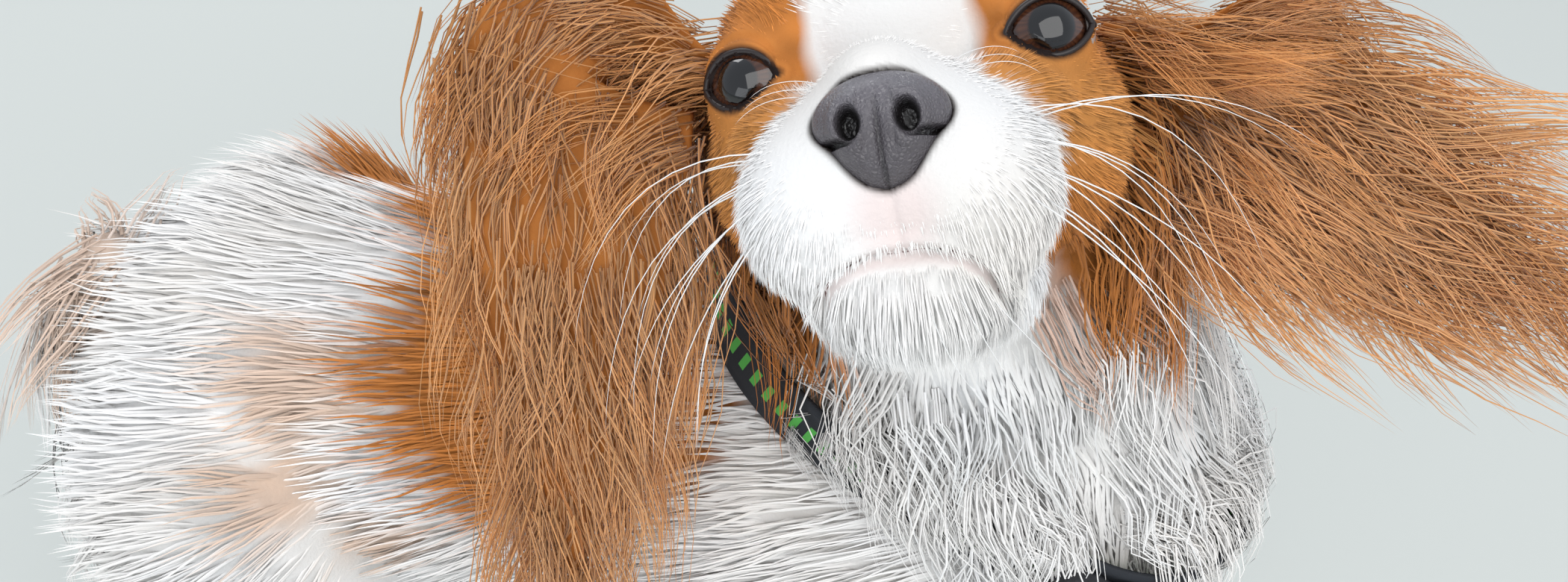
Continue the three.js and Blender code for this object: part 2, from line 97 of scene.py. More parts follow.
EYE_MIDDLE = np.array([-22.0, 5.0, 392.0])
MUZZLE = unit([-0.563, 0.125, 0.817])
HEAD_BACK = -MUZZLE
head_left = np.array([0.145, -0.958, 0.247])
HEAD_X = unit(head_left - head_left @ MUZZLE * MUZZLE)
HEAD_UP = np.cross(HEAD_X, HEAD_BACK)
HEAD_AXES = np.array([HEAD_X, HEAD_BACK, HEAD_UP])
EYE_APART = 55.0
EYE_R = 11.0


def head_point(x, y, z):
    return EYE_MIDDLE + x * HEAD_X + y * HEAD_BACK + z * HEAD_UP


def in_head(points):
    return (points - EYE_MIDDLE) @ HEAD_AXES.T


eye_box = np.array(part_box("eye_left"))
SHIFT = np.round(eye_box.mean(0) / MM - head_point(EYE_APART / 2, 0, 0))
print("shift of the packed model, mm:", SHIFT)

# %% [markdown]
# The body is a sum of simple rounded forms that melt into one another. Each form is a function
# that gives the distance to its surface, negative inside. The same numbers shape the solids, so
# the skin made from them here lies inside the solids by the depth of the coat. Sculpting would
# give a fine body too, but a form can be asked anywhere how far away it is, and hair needs that.

# %% Rounded forms and how they blend
WORLD_AXES = np.eye(3)


def ellipsoid(centre, radii, axes=WORLD_AXES):
    centre = np.asarray(centre, float)
    radii = np.asarray(radii, float)

    def form(p):
        q = (p - centre) @ axes.T
        k0 = np.linalg.norm(q / radii, axis=1)
        k1 = np.linalg.norm(q / radii**2, axis=1)
        return k0 * (k0 - 1) / np.maximum(k1, 1e-6)

    form.balls = [(centre, radii, axes)]
    return form


def head_ellipsoid(x, y, z, radii):
    return ellipsoid(head_point(x, y, z), radii, HEAD_AXES)


def limb(a, b, ra, rb):
    a = np.asarray(a, float)
    b = np.asarray(b, float)

    def form(p):
        t = np.clip((p - a) @ (b - a) / ((b - a) @ (b - a)), 0, 1)
        return np.linalg.norm(p - a - t[:, None] * (b - a), axis=1) - (ra + (rb - ra) * t)

    steps = np.linspace(0, 1, 7)
    form.balls = [(a + (b - a) * t, np.full(3, ra + (rb - ra) * t), WORLD_AXES) for t in steps]
    return form


def blend(width, forms):
    def form(p):
        total = forms[0](p)
        for other in forms[1:]:
            near = other(p)
            h = np.maximum(width - np.abs(total - near), 0) / width
            total = np.minimum(total, near) - h * h * width / 4
        return total

    form.balls = [ball for f in forms for ball in f.balls]
    return form


def slope(form, p):
    here = form(p)
    steps = [form(p + 0.4 * axis) - here for axis in WORLD_AXES]
    return unit(np.stack(steps, 1) + 1e-9)


ten_ball = ellipsoid((0, 0, 0), (10, 10, 10))
print("from 20 mm out to a ball of radius 10 mm:", ten_ball(np.array([[20.0, 0, 0]]))[0].round(2))

# %% Forms of the torso, neck, head, legs and tail
TORSO = blend(22, [
    ellipsoid((0, -50, 222), (50, 40, 60)),
    ellipsoid((0, 20, 230), (60, 92, 68)),
    ellipsoid((0, 125, 228), (54, 76, 57)),
    ellipsoid((0, 182, 226), (54, 58, 56)),
])
NECK = blend(16, [
    limb((0, -36, 262), (-6, -10, 330), 50, 42),
    limb((-6, -10, 330), (2, 0, 356), 42, 40),
])
SKULL = blend(9, [
    head_ellipsoid(0, 38, 6, (43, 46, 36)),
    head_ellipsoid(0, 12, 12, (29, 24, 21)),
    *[
        form
        for s in (-1, 1)
        for form in (
            head_ellipsoid(s * 29, 24, -14, (18, 30, 26)),
            head_ellipsoid(s * 22, 4, 13, (14, 11, 9)),
            head_ellipsoid(s * 19, -7, -15, (14, 17, 12)),
            head_ellipsoid(s * 14, -25, -33, (15, 19, 16)),
        )
    ],
    head_ellipsoid(0, -20, -13, (12, 25, 11)),
    head_ellipsoid(0, -21, -26, (24, 25, 17)),
    head_ellipsoid(0, -13, -49, (18, 21, 9)),
    head_ellipsoid(0, 16, -42, (26, 36, 16)),
])
LIDS = [head_ellipsoid(s * EYE_APART / 2, 0, 0, (12.9, 12.9, 12.9)) for s in (-1, 1)]
HEAD = blend(6, [SKULL, *LIDS])
NOSE = blend(4, [
    head_ellipsoid(0.8, -41.5, -21, (11.6, 7, 7.6)),
    head_ellipsoid(0.8, -42, -27, (6.5, 6, 6)),
])
TOES = (-9, -3, 3, 9)


def foreleg(s):
    return blend(12, [
        limb((s * 44, -40, 200), (s * 46, -6, 150), 31, 24),
        limb((s * 46, -6, 150), (s * 42, -34, 55), 23, 13.5),
        limb((s * 42, -34, 55), (s * 42, -44, 20), 13.5, 13),
        ellipsoid((s * 42, -56, 10.5), (17, 25, 14)),
        *[ellipsoid((s * (42 + x), -77 + 4 * (abs(x) > 5), 9), (6, 9, 9)) for x in TOES],
    ])


def hindleg(s):
    return blend(14, [
        limb((s * 34, 185, 222), (s * 50, 148, 142), 44, 30),
        limb((s * 50, 148, 142), (s * 48, 226, 80), 28, 14),
        limb((s * 48, 226, 80), (s * 48, 222, 20), 13.5, 13),
        ellipsoid((s * 48, 208, 10.5), (17, 26, 14)),
        *[ellipsoid((s * (48 + x), 186 + 4 * (abs(x) > 5), 9), (6, 9, 9)) for x in TOES],
    ])


TAIL = blend(8, [
    limb((0, 226, 258), (0, 246, 232), 15, 12),
    limb((0, 246, 232), (-2, 254, 180), 12, 9),
    limb((-2, 254, 180), (-3, 250, 128), 9, 6),
])
LEGS = [foreleg(-1), foreleg(1), hindleg(-1), hindleg(1)]
BODY = blend(7, [TORSO, NECK, HEAD, *LEGS, TAIL])
print("balls that fill the body:", len(BODY.balls))

# %% [markdown]
# ## The skin
#
# A skin without seams could be sculpted by hand, or laid over an armature with a skin modifier.
# Here every form becomes a ball, the balls are joined, and a voxel remesh melts them into one
# closed surface. Each point then slides along the slope of the blended form until it lies just
# under the coat. The face is divided once more, because its folds are finer than the body's.

# %% Join the balls and remesh them
def clear_choice():
    bpy.ops.object.select_all(action="DESELECT")


def choose(*objects):
    clear_choice()
    for o in objects:
        o.select_set(True)
    bpy.context.view_layer.objects.active = objects[-1]


def points_of(mesh):
    flat = np.empty(len(mesh.vertices) * 3, np.float32)
    mesh.vertices.foreach_get("co", flat)
    return flat.reshape(-1, 3).astype(float) / MM - SHIFT


def put_points(mesh, p):
    mesh.vertices.foreach_set("co", ((p + SHIFT) * MM).astype(np.float32).ravel())
    mesh.update()


def turn_outwards(obj):
    choose(obj)
    bpy.ops.object.mode_set(mode="EDIT")
    bpy.ops.mesh.select_all(action="SELECT")
    bpy.ops.mesh.normals_make_consistent(inside=False)
    bpy.ops.object.mode_set(mode="OBJECT")


def unwrap(obj):
    """Makes the unwrap on which the tufts of this piece have their spots."""
    choose(obj)
    bpy.ops.object.mode_set(mode="EDIT")
    bpy.ops.mesh.select_all(action="SELECT")
    bpy.ops.uv.smart_project(angle_limit=radians(66), island_margin=0.002)
    bpy.ops.object.mode_set(mode="OBJECT")
    obj.data.uv_layers[0].name = "OFBake"


def add_ball(centre, radii, axes, segments=24, rings=14):
    clear_choice()
    bpy.ops.mesh.primitive_uv_sphere_add(segments=segments, ring_count=rings, radius=1)
    ball = bpy.context.object
    unit_points = np.array([v.co[:] for v in ball.data.vertices])
    put_points(ball.data, centre + (unit_points * radii) @ axes)
    return ball


def coat_depth(p):
    """How deep the skin lies under the outside of the coat, in mm."""
    h = in_head(p)
    on_face = np.clip((18 - h[:, 1]) / 30, 0, 1) * (HEAD(p) < 4)
    on_trunk = np.clip((p[:, 1] - 20) / 60, 0, 1)
    depth = 4.5 - 3.4 * on_face - 2.5 * on_trunk
    on_leg = np.clip((130 - p[:, 2]) / 70, 0, 1)
    return depth * (1 - on_leg) + 1.6 * on_leg


def settle(p, form, depth, rounds=5):
    """Slides points along a form's slope until they lie at the depth, and never below the floor."""
    for _ in range(rounds):
        p = p - (form(p) + depth(p))[:, None] * slope(form, p)
        p[:, 2] = np.maximum(p[:, 2], 0.5)
    return p


VOXEL = 2.8
choose(*[add_ball(*ball) for ball in BODY.balls])
bpy.ops.object.join()
skin = bpy.context.object
skin.name = "skin"
remesh = skin.modifiers.new("melt", "REMESH")
remesh.mode = "VOXEL"
remesh.voxel_size = VOXEL * MM
bpy.ops.object.modifier_apply(modifier="melt")
put_points(skin.data, settle(points_of(skin.data), BODY, coat_depth))


def finer_faces(mesh, level):
    """The faces to divide: first the whole face, then only what lies near the eyes and mouth."""
    centre = np.array([f.center[:] for f in mesh.polygons]) / MM - SHIFT
    h = in_head(centre)
    face = (h[:, 1] < 10) & (h[:, 1] > -60) & (h[:, 2] > -62) & (HEAD(centre) < 3)
    if level == 0:
        return face
    near_eye = np.hypot(np.abs(h[:, 0]) - EYE_APART / 2, h[:, 2]) < 15
    return face & (near_eye | ((h[:, 2] < -34) & (h[:, 1] < -8)))


for level in range(2):
    skin.data.polygons.foreach_set("select", finer_faces(skin.data, level))
    choose(skin)
    bpy.ops.object.mode_set(mode="EDIT")
    bpy.ops.mesh.subdivide(number_cuts=1, ngon=False)
    bpy.ops.object.mode_set(mode="OBJECT")
    put_points(skin.data, settle(points_of(skin.data), BODY, coat_depth, 2))
print("skin faces:", len(skin.data.polygons))

# %% [markdown]
# Real eyelids are a thin fold stretched over the eyeball, with an almond-shaped opening. Points
# that fall inside the opening sink behind the eyeball, and points around it are held a little
# outside it. The mouth is a shallow groove from the nose down to the lip and out to each corner.
# A sculpting brush could do this by hand. Formulas of the distance to each edge do it here, so
# every width is a number that can be read.

# %% Lids, mouth and a bed for the nose pressed into the skin
EYE_OPEN_X = 8.1
EYE_OPEN_Z = 5.5


def eye_axes(s):
    out = unit(MUZZLE + 0.28 * s * HEAD_X - 0.08 * HEAD_UP)
    x = unit(HEAD_X - HEAD_X @ out * out)
    return head_point(s * EYE_APART / 2, 0, 0), np.array([x, np.cross(out, x), out])


def lid_height(x, upper):
    """Height of the edge of a lid over the middle of the eye, x from -1 to 1 across it."""
    arch = (1 - np.clip(np.abs(x), 0, 1) ** 2.1) ** 0.75
    return arch * EYE_OPEN_Z * (1.02 if upper else -0.98)


def opening(x, y, grow=0.0):
    """Negative inside the almond between the lids."""
    u = x / (EYE_OPEN_X + grow)
    high = lid_height(u, True) + grow
    low = lid_height(u, False) - grow
    inside = np.maximum(y - high, low - y)
    beside = np.hypot((np.abs(u) - 1) * EYE_OPEN_X, y)
    return np.where(np.abs(u) < 1, inside, beside)


def press_eyes(p):
    for s in (-1, 1):
        middle, axes = eye_axes(s)
        q = (p - middle) @ axes.T
        r = np.linalg.norm(q, axis=1)
        gap = opening(q[:, 0], q[:, 1])
        front = (q[:, 2] > 0) & (r < 22)
        edge = EYE_R + 0.8 - r
        push = np.where(front & (gap > 0) & (gap < 1.6), edge * np.clip(1.6 - gap, 0, 1), 0)
        fold = 0.8 * np.exp(-(((gap - 3.4) / 0.8) ** 2)) * (q[:, 1] > -3)
        push = np.where(front & (gap > 1.6) & (gap < 8), push - fold, push)
        push = np.where(front & (gap <= 0), np.minimum(EYE_R - 1.8, r) - r, push)
        p = p + push[:, None] * q / np.maximum(r, 1)[:, None] @ axes
    return p


def on_head(x, z):
    """The point of the skin in front, at a given place of the face."""
    p = head_point(x * 0.5, -4, z)[None]
    d = unit(head_point(x, -30, z) - p)
    low, high = 0.0, 70.0
    for _ in range(24):
        mid = (low + high) / 2
        inside = HEAD(p + mid * d)[0] + 1.1 < 0
        low, high = (mid, high) if inside else (low, mid)
    return (p + low * d)[0]


MOUTH = {
    s: np.array([
        on_head(s * x, z)
        for x, z in ((0.4, -43.4), (4, -43.6), (9, -45.2), (14, -47.8), (18.5, -51.2), (21, -55.5))
    ])
    for s in (-1, 1)
}


def fine_path(path, count=60):
    """A smooth curve through a few points."""
    t = np.linspace(0, len(path) - 1, count)
    i = np.clip(t.astype(int), 0, len(path) - 2)
    f = (t - i)[:, None]
    ends = np.concatenate([[2 * path[0] - path[1]], path, [2 * path[-1] - path[-2]]])
    a, b, c, d = ends[i], ends[i + 1], ends[i + 2], ends[i + 3]
    return 0.5 * (2 * b + (c - a) * f + (2 * a - 5 * b + 4 * c - d) * f**2
                  + (3 * b - a - 3 * c + d) * f**3)


mouth_lines = {s: fine_path(MOUTH[s]) for s in (-1, 1)}
mouth_points = np.concatenate(list(mouth_lines.values()))


def mouth_distance(p):
    far = np.full(len(p), 99.0)
    near = np.linalg.norm(p - head_point(0, -30, -44), axis=1) < 36
    if near.any():
        gaps = p[near][:, None, :] - mouth_points[None]
        far[near] = np.sqrt((gaps**2).sum(2)).min(1)
    return far


def press_mouth(p):
    d = mouth_distance(p)
    groove = -1.6 * np.exp(-((d / 1.0) ** 2)) + 0.6 * np.exp(-(((d - 2.8) / 1.3) ** 2))
    h = in_head(p)
    furrow = np.exp(-(((h[:, 0] - 0.6) / 0.8) ** 2)) * (h[:, 1] < -30)
    furrow = furrow * np.clip((-30 - h[:, 2]) / 3, 0, 1) * np.clip((h[:, 2] + 44) / 3, 0, 1)
    return p + (groove - 0.7 * furrow)[:, None] * slope(HEAD, p)


def press_nose(p):
    inside = NOSE(p)
    under = np.clip((0.6 - inside) / 1.5, 0, 1)
    return p - (5.5 * under)[:, None] * slope(HEAD, p)


put_points(skin.data, press_nose(press_mouth(press_eyes(points_of(skin.data)))))
choose(skin)
bpy.ops.object.shade_smooth()
unwrap(skin)
print("skin box, mm:", points_of(skin.data).min(0).round(1), points_of(skin.data).max(0).round(1))

# %% [markdown]
# ## Markings
#
# The coat is white with chestnut on the ears, round the eyes and in patches on the back. The
# markings could be painted, but then each tuft would have to be matched to the paint. As a
# function of place, they are asked by the skin and by every tuft, and all agree.
# Colours are given as sRGB hex, as a colour picker shows them, and turned linear for the shader.

# %% Colours and the markings
def linear(hex_code):
    s = np.array([int(hex_code[i:i + 2], 16) / 255 for i in (1, 3, 5)])
    return np.where(s <= 0.04045, s / 12.92, ((s + 0.055) / 1.055) ** 2.4)


WHITE = linear("#F6F5F4")
CREAM = linear("#E9DFD2")
CHESTNUT = linear("#C47A38")
GOLD = linear("#DDA45E")
TAN = linear("#D3A277")
RIM = linear("#1E1412")
PINK = linear("#E2BDB8")


def soft(d, width):
    """1 inside, 0 outside, with a soft border of the given width."""
    return np.clip(0.5 - d / width, 0, 1)


def ripple(p, size, seed=0):
    """A smooth uneven number from -1 to 1 that changes over about the given size."""
    k = tau / size
    a = np.sin(p[:, 0] * k + 1.3 * seed) * np.cos(p[:, 1] * k * 0.83 + seed)
    b = np.sin(p[:, 2] * k * 1.21 + 2.1 * seed + p[:, 0] * k * 0.47)
    return (a + b * np.cos(p[:, 1] * k * 0.61 - seed)) / 2


PATCHES = [
    ((30, 108, 288), 30, CHESTNUT),
    ((-28, 84, 282), 47, CHESTNUT),
    ((-40, 152, 276), 20, TAN),
    ((-60, 151, 252), 16, TAN),
    ((-61, 130, 226), 16, TAN),
    ((58, 150, 240), 34, CHESTNUT),
    ((-10, 236, 268), 22, TAN),
]


def chestnut_share(p):
    """How chestnut the coat is at a place, and which chestnut."""
    p = p + 2.5 * ripple(p, 17, 3)[:, None]
    h = in_head(p)
    side = np.abs(h[:, 0])
    on_head_part = soft(HEAD(p) - np.minimum(NECK(p), 30) - 2, 6) * (HEAD(p) < 14)
    blaze = side - np.interp(h[:, 1], (-30, 5, 60, 80), (14, 15.5, 9, 3))
    muzzle_edge = 16 + 1.15 * np.clip(-10 - h[:, 2], 0, 14)
    muzzle = np.maximum(side - muzzle_edge, h[:, 1] + 4 + 0.25 * np.clip(-20 - h[:, 2], 0, 30))
    chin = h[:, 2] + 37 + 0.18 * np.clip(h[:, 1], -20, 40)
    white = np.minimum(np.minimum(blaze, muzzle), chin)
    share = (1 - soft(white, 3.5)) * on_head_part
    colour = np.broadcast_to(CHESTNUT, p.shape).copy()
    for centre, size, hue in PATCHES:
        near = soft(np.linalg.norm(p - centre, axis=1) - size, 9) * (HEAD(p) > 6)
        colour = np.where((near > share)[:, None], hue, colour)
        share = np.maximum(share, near * (0.6 if hue is TAN else 1))
    for s in (-1, 1):
        ear_root = head_point(38 * s, 40, -14)
        near = soft(np.linalg.norm(p - ear_root, axis=1) - 34, 8) * (h[:, 2] > -44)
        colour = np.where((near > share)[:, None], CHESTNUT, colour)
        share = np.maximum(share, near)
    return share, colour


def markings(p):
    share, colour = chestnut_share(p)
    h = in_head(p)
    shade = 0.5 + 0.5 * ripple(p, 9, 1)
    colour = colour * (0.8 + 0.4 * shade[:, None])
    cheek = soft(np.abs(h[:, 2] + 16) - 10, 12) * (h[:, 1] < 18)
    colour = colour + (GOLD - colour) * (0.35 * cheek)[:, None]
    base = WHITE + (CREAM - WHITE) * (0.25 + 0.25 * ripple(p, 60, 5))[:, None]
    return base + (colour - base) * share[:, None]


def skin_colours(p):
    colour = markings(p) * 0.82
    for s in (-1, 1):
        middle, axes = eye_axes(s)
        q = (p - middle) @ axes.T
        near = (q[:, 2] > -2) & (np.linalg.norm(q, axis=1) < 20)
        wide = 0.9 + 0.8 * np.clip(s * q[:, 0] / 8, 0, 1) * (q[:, 1] > -2)
        rim = soft(opening(q[:, 0], q[:, 1], 0.3) - wide, 1.2) * near
        colour = colour + (RIM - colour) * rim[:, None]
    h = in_head(p)
    muzzle = soft(mouth_distance(p) - 1.5, 2)
    leather_bed = soft(NOSE(p) - 1.0, 1.0)
    colour = colour + (RIM - colour) * leather_bed[:, None]
    bare = soft(np.hypot(h[:, 0] - 0.8, h[:, 2] + 37) - 7, 6) * (h[:, 1] < -30)
    blush = np.maximum(0.4 * muzzle, 0.35 * bare) * (1 - leather_bed)
    colour = colour + (PINK - colour) * blush[:, None]
    return colour


def paint(mesh, colours):
    layer = mesh.color_attributes.new("coat", "FLOAT_COLOR", "POINT")
    rgba = np.ones((len(colours), 4), np.float32)
    rgba[:, :3] = colours
    layer.data.foreach_set("color", rgba.ravel())
    mesh.color_attributes.active_color = layer


paint(skin.data, skin_colours(points_of(skin.data)))
print("points of the skin painted:", len(skin.data.vertices))

# %% [markdown]
# ## Finishes
#
# A small helper adds one shader node at a time. Skin and tufts read their colour from the mesh,
# so one finish serves every marking. A hair shader is meant for bare curves, and on closed tufts
# a rough surface with a weak sheen looks closer to a dry coat.

# %% Helper for shader nodes, and the coat's finish
def add_node(material, kind, inputs=None, **settings):
    node = material.node_tree.nodes.new(kind)
    for name, value in settings.items():
        setattr(node, name, value)
    for name, value in (inputs or {}).items():
        if isinstance(value, bpy.types.NodeSocket):
            material.node_tree.links.new(value, node.inputs[name])
        else:
            node.inputs[name].default_value = value
    return node


def new_material(name, roughness, **sockets):
    material = bpy.data.materials.new(name)
    material.use_nodes = True
    shader = material.node_tree.nodes["Principled BSDF"]
    shader.inputs["Roughness"].default_value = roughness
    for socket, value in sockets.items():
        shader.inputs[socket.replace("_", " ")].default_value = value
    return material, shader


def link(material, out, into):
    material.node_tree.links.new(out, into)


def object_place(material):
    """Coordinates of the piece itself, in metres."""
    return add_node(material, "ShaderNodeTexCoord").outputs["Object"]


def attribute_material(name, roughness, **sockets):
    material, shader = new_material(name, roughness, **sockets)
    colour = add_node(material, "ShaderNodeAttribute", attribute_name="coat")
    link(material, colour.outputs["Color"], shader.inputs["Base Color"])
    return material, shader


# Hair is horn, half clear and scaly, so it has a broad weak shine and a soft bright edge.
hair, hair_shader = attribute_material(
    "dog_hair", 0.6, Specular_IOR_Level=0.22, Sheen_Weight=0.2, Sheen_Roughness=0.4
)
# Skin under hair is matt and finely pored, and shows only where the coat parts.
hide, hide_shader = attribute_material("dog_skin", 0.75, Specular_IOR_Level=0.2)
grain = add_node(
    hide, "ShaderNodeTexNoise", {"Vector": object_place(hide), "Scale": 900.0, "Detail": 4.0}
)
hide_bump = add_node(
    hide, "ShaderNodeBump", {"Height": grain.outputs["Fac"], "Strength": 0.35, "Distance": 0.0006}
)
link(hide, hide_bump.outputs["Normal"], hide_shader.inputs["Normal"])
skin.data.materials.append(hide)
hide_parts("torso", "neck", "head", "tail", "leg_front_right", "leg_front_left",
            "leg_hind_right", "leg_hind_left")
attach(skin, "root")
print("finishes so far:", hair.name, hide.name)

# %% [markdown]
# ## Ear flaps
#
# A spaniel's ear is a thin leather leaf with long hair on it. The right one hangs over the
# shoulder and the wind has lifted the left one. Each leaf is a flattened cylinder whose rings
# follow a curve, turning broadside as it leaves the skull. A bent sheet with thickness would
# serve too, but rings keep the root narrow and let the width follow one formula.

# %% Ear leaves
EAR_PATHS = {
    "right": np.array([
        head_point(-38, 34, 8), (-18, 68, 380), (-34, 70, 364), (-50, 70, 340),
        (-64, 70, 305), (-76, 69, 268),
    ]),
    "left": np.array([
        head_point(38, 34, 8), (4, -56, 372), (-2, -76, 364), (-6, -98, 356), (-11, -124, 347),
    ]),
}
LEAF_THICK = 3.2
EAR_SPREAD = {"right": unit([0.15, 0.98, 0.1]), "left": unit([0.754, 0.133, 0.643])}


def smooth_step(t, low, high):
    x = np.clip((t - low) / (high - low), 0, 1)
    return x * x * (3 - 2 * x)


def ear_frames(which, count):
    """Places, directions and broad sides along an ear."""
    path = fine_path(EAR_PATHS[which], count)
    t = np.linspace(0, 1, count)
    along = unit(np.gradient(path, axis=0))
    turn = smooth_step(t, 0.08, 0.36)[:, None]
    side = MUZZLE * (1 - turn) + EAR_SPREAD[which] * turn
    side = unit(side - (side * along).sum(1, keepdims=True) * along)
    return path, along, side, np.cross(side, along)


def ear_width(t):
    return (30 + 20 * np.sin(pi * np.minimum(1, t * 1.05) ** 0.8)) * (1 - t**4) + 1


def add_leaf(which):
    clear_choice()
    bpy.ops.mesh.primitive_cylinder_add(vertices=24, radius=1, depth=1, end_fill_type="TRIFAN")
    leaf = bpy.context.object
    leaf.name = "ear_leaf_" + which
    cuts = 30
    raw = np.array([v.co[:] for v in leaf.data.vertices])
    ring = raw[(raw[:, 2] < 0) & (np.hypot(raw[:, 0], raw[:, 1]) > 0.5)][:, :2]
    path, along, side, up = ear_frames(which, cuts)
    t = np.linspace(0, 1, cuts)
    width = ear_width(t)[:, None] / 2
    rings = (path[:, None]
             + side[:, None] * (ring[None, :, :1] * width[:, None])
             + up[:, None] * (ring[None, :, 1:] * LEAF_THICK / 2))
    n = len(ring)
    order = np.argsort(np.arctan2(ring[:, 1], ring[:, 0]))
    rings = rings[:, order].reshape(-1, 3)
    verts = np.concatenate([rings, path[:1], path[-1:]])
    faces = []
    for i in range(cuts - 1):
        for j in range(n):
            k = (j + 1) % n
            faces.append((i * n + j, i * n + k, (i + 1) * n + k, (i + 1) * n + j))
    last = (cuts - 1) * n
    for j in range(n):
        k = (j + 1) % n
        faces.append((k, j, cuts * n))
        faces.append((last + j, last + k, cuts * n + 1))
    leaf.data.clear_geometry()
    leaf.data.from_pydata(((verts + SHIFT) * MM).tolist(), [], faces)
    leaf.data.update()
    turn_outwards(leaf)
    unwrap(leaf)
    bpy.ops.object.shade_smooth()
    paint(leaf.data, CHESTNUT * (0.72 + 0.14 * ripple(verts, 12, 2))[:, None])
    leaf.data.materials.append(hide)
    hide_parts("ear_" + which)
    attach(leaf, "root")
    return leaf


leaves = {which: add_leaf(which) for which in ("right", "left")}
print("faces of an ear leaf:", len(leaves["right"].data.polygons))

# %% [markdown]
# ## The coat
#
# Particle hair is lost on export, so each tuft is a small closed spike with three sides. Many
# thousand of them are computed together as arrays. A tuft starts at a root on the skin, leans
# along the lie of the coat, bends under its own weight and ends in a point. Its colour comes
# from the markings at its root, with painted shade at the root, deep in the coat, that lightens
# towards the tip, and a little chance.

# %% Roots spread over a skin
def surface_of(obj):
    mesh = obj.data
    mesh.calc_loop_triangles()
    count = len(mesh.loop_triangles)
    corner = np.empty(count * 3, np.int32)
    loops = np.empty(count * 3, np.int32)
    mesh.loop_triangles.foreach_get("vertices", corner)
    mesh.loop_triangles.foreach_get("loops", loops)
    uv = np.empty(len(mesh.loops) * 2, np.float32)
    mesh.uv_layers[0].data.foreach_get("uv", uv)
    normals = np.empty(len(mesh.vertices) * 3, np.float32)
    mesh.vertices.foreach_get("normal", normals)
    return {
        "points": points_of(mesh)[corner.reshape(-1, 3)],
        "normals": normals.reshape(-1, 3)[corner.reshape(-1, 3)],
        "uv": uv.reshape(-1, 2)[loops.reshape(-1, 3)],
    }


def scatter(surface, count, weight):
    """Roots by area times weight(centre): their places, normals and spots on the unwrap."""
    tri = surface["points"]
    area = np.linalg.norm(np.cross(tri[:, 1] - tri[:, 0], tri[:, 2] - tri[:, 0]), axis=1)
    chance = area * weight(tri.mean(1))
    pick = rng.choice(len(tri), count, p=chance / chance.sum())
    a, b = rng.random((2, count, 1))
    fold = a + b > 1
    a, b = np.where(fold, 1 - a, a), np.where(fold, 1 - b, b)
    mix = np.stack([1 - a - b, a, b], 1)
    return {
        "root": (tri[pick] * mix).sum(1),
        "out": unit((surface["normals"][pick] * mix).sum(1)),
        "uv": (surface["uv"][pick] * mix).sum(1),
    }


body_surface = surface_of(skin)
print("triangles of the skin:", len(body_surface["points"]))

# %% Spines and closed tufts
DOWN = np.array([0.0, 0.0, -1.0])


def push_out(p, form, margin):
    """Moves the points that are closer to a form than the margin straight out of it."""
    deep = margin - form(p)
    hit = deep > 0
    p = p.copy()
    if hit.any():
        p[hit] += deep[hit, None] * slope(form, p[hit])
    return p


def spines(root, out, lie, length, steps, lift=0.3, droop=0.05, curl=0.0, clear=None,
           margin=0.6, press=0.06):
    """Points along each tuft, bending from its lift towards its lie and down."""
    count = len(root)
    length = np.broadcast_to(length, (count,))[:, None]
    lie = unit(lie - (lie * out).sum(1, keepdims=True) * out * 0.9)
    side = unit(np.cross(out, lie) + 1e-6)
    sway = 0.22 * ripple(root, 34, 4)[:, None] + rng.normal(0, 0.05, (count, 1))
    d = unit(lie + lift * out + sway * side)
    phase = tau * ripple(root, 44, 2)[:, None] + rng.normal(0, 0.5, (count, 1))
    p = root - 0.4 * out
    line = [p]
    for i in range(steps):
        bend = curl * np.sin(phase + i * 6.5 / steps)
        d = unit(d + droop * DOWN + bend * side - press * out)
        p = p + d * length / steps
        if clear is not None:
            p = push_out(p, clear, margin)
        p[:, 2] = np.maximum(p[:, 2], 0.6)
        line.append(p)
    return np.stack(line, 1)


low_corner, high_corner = (np.array(corner) / MM - SHIFT for corner in cad_box)
ROOM = (high_corner - low_corner) * 0.03 + 8
print("room past the solids' box, mm:", ROOM.round(1))


def keep_near(line):
    """Shortens the tufts that would reach far past the solids' own box."""
    tip = line[:, -1] - line[:, 0]
    room = np.where(tip > 0, high_corner + ROOM - line[:, 0], line[:, 0] - low_corner + ROOM)
    fit = np.clip(room / np.maximum(np.abs(tip), 1e-6), 0.2, 1).min(1)
    return line[:, :1] + (line - line[:, :1]) * fit[:, None, None]


def volume_sign(v, tris):
    a, b, c = (v[tris[:, k]] - v.mean(0) for k in range(3))
    return (np.cross(a, b) * c).sum()


def add_object(name, mesh, material):
    mesh.materials.append(material)
    obj = bpy.data.objects.new(name, mesh)
    bpy.context.scene.collection.objects.link(obj)
    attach(obj, "root")
    return obj


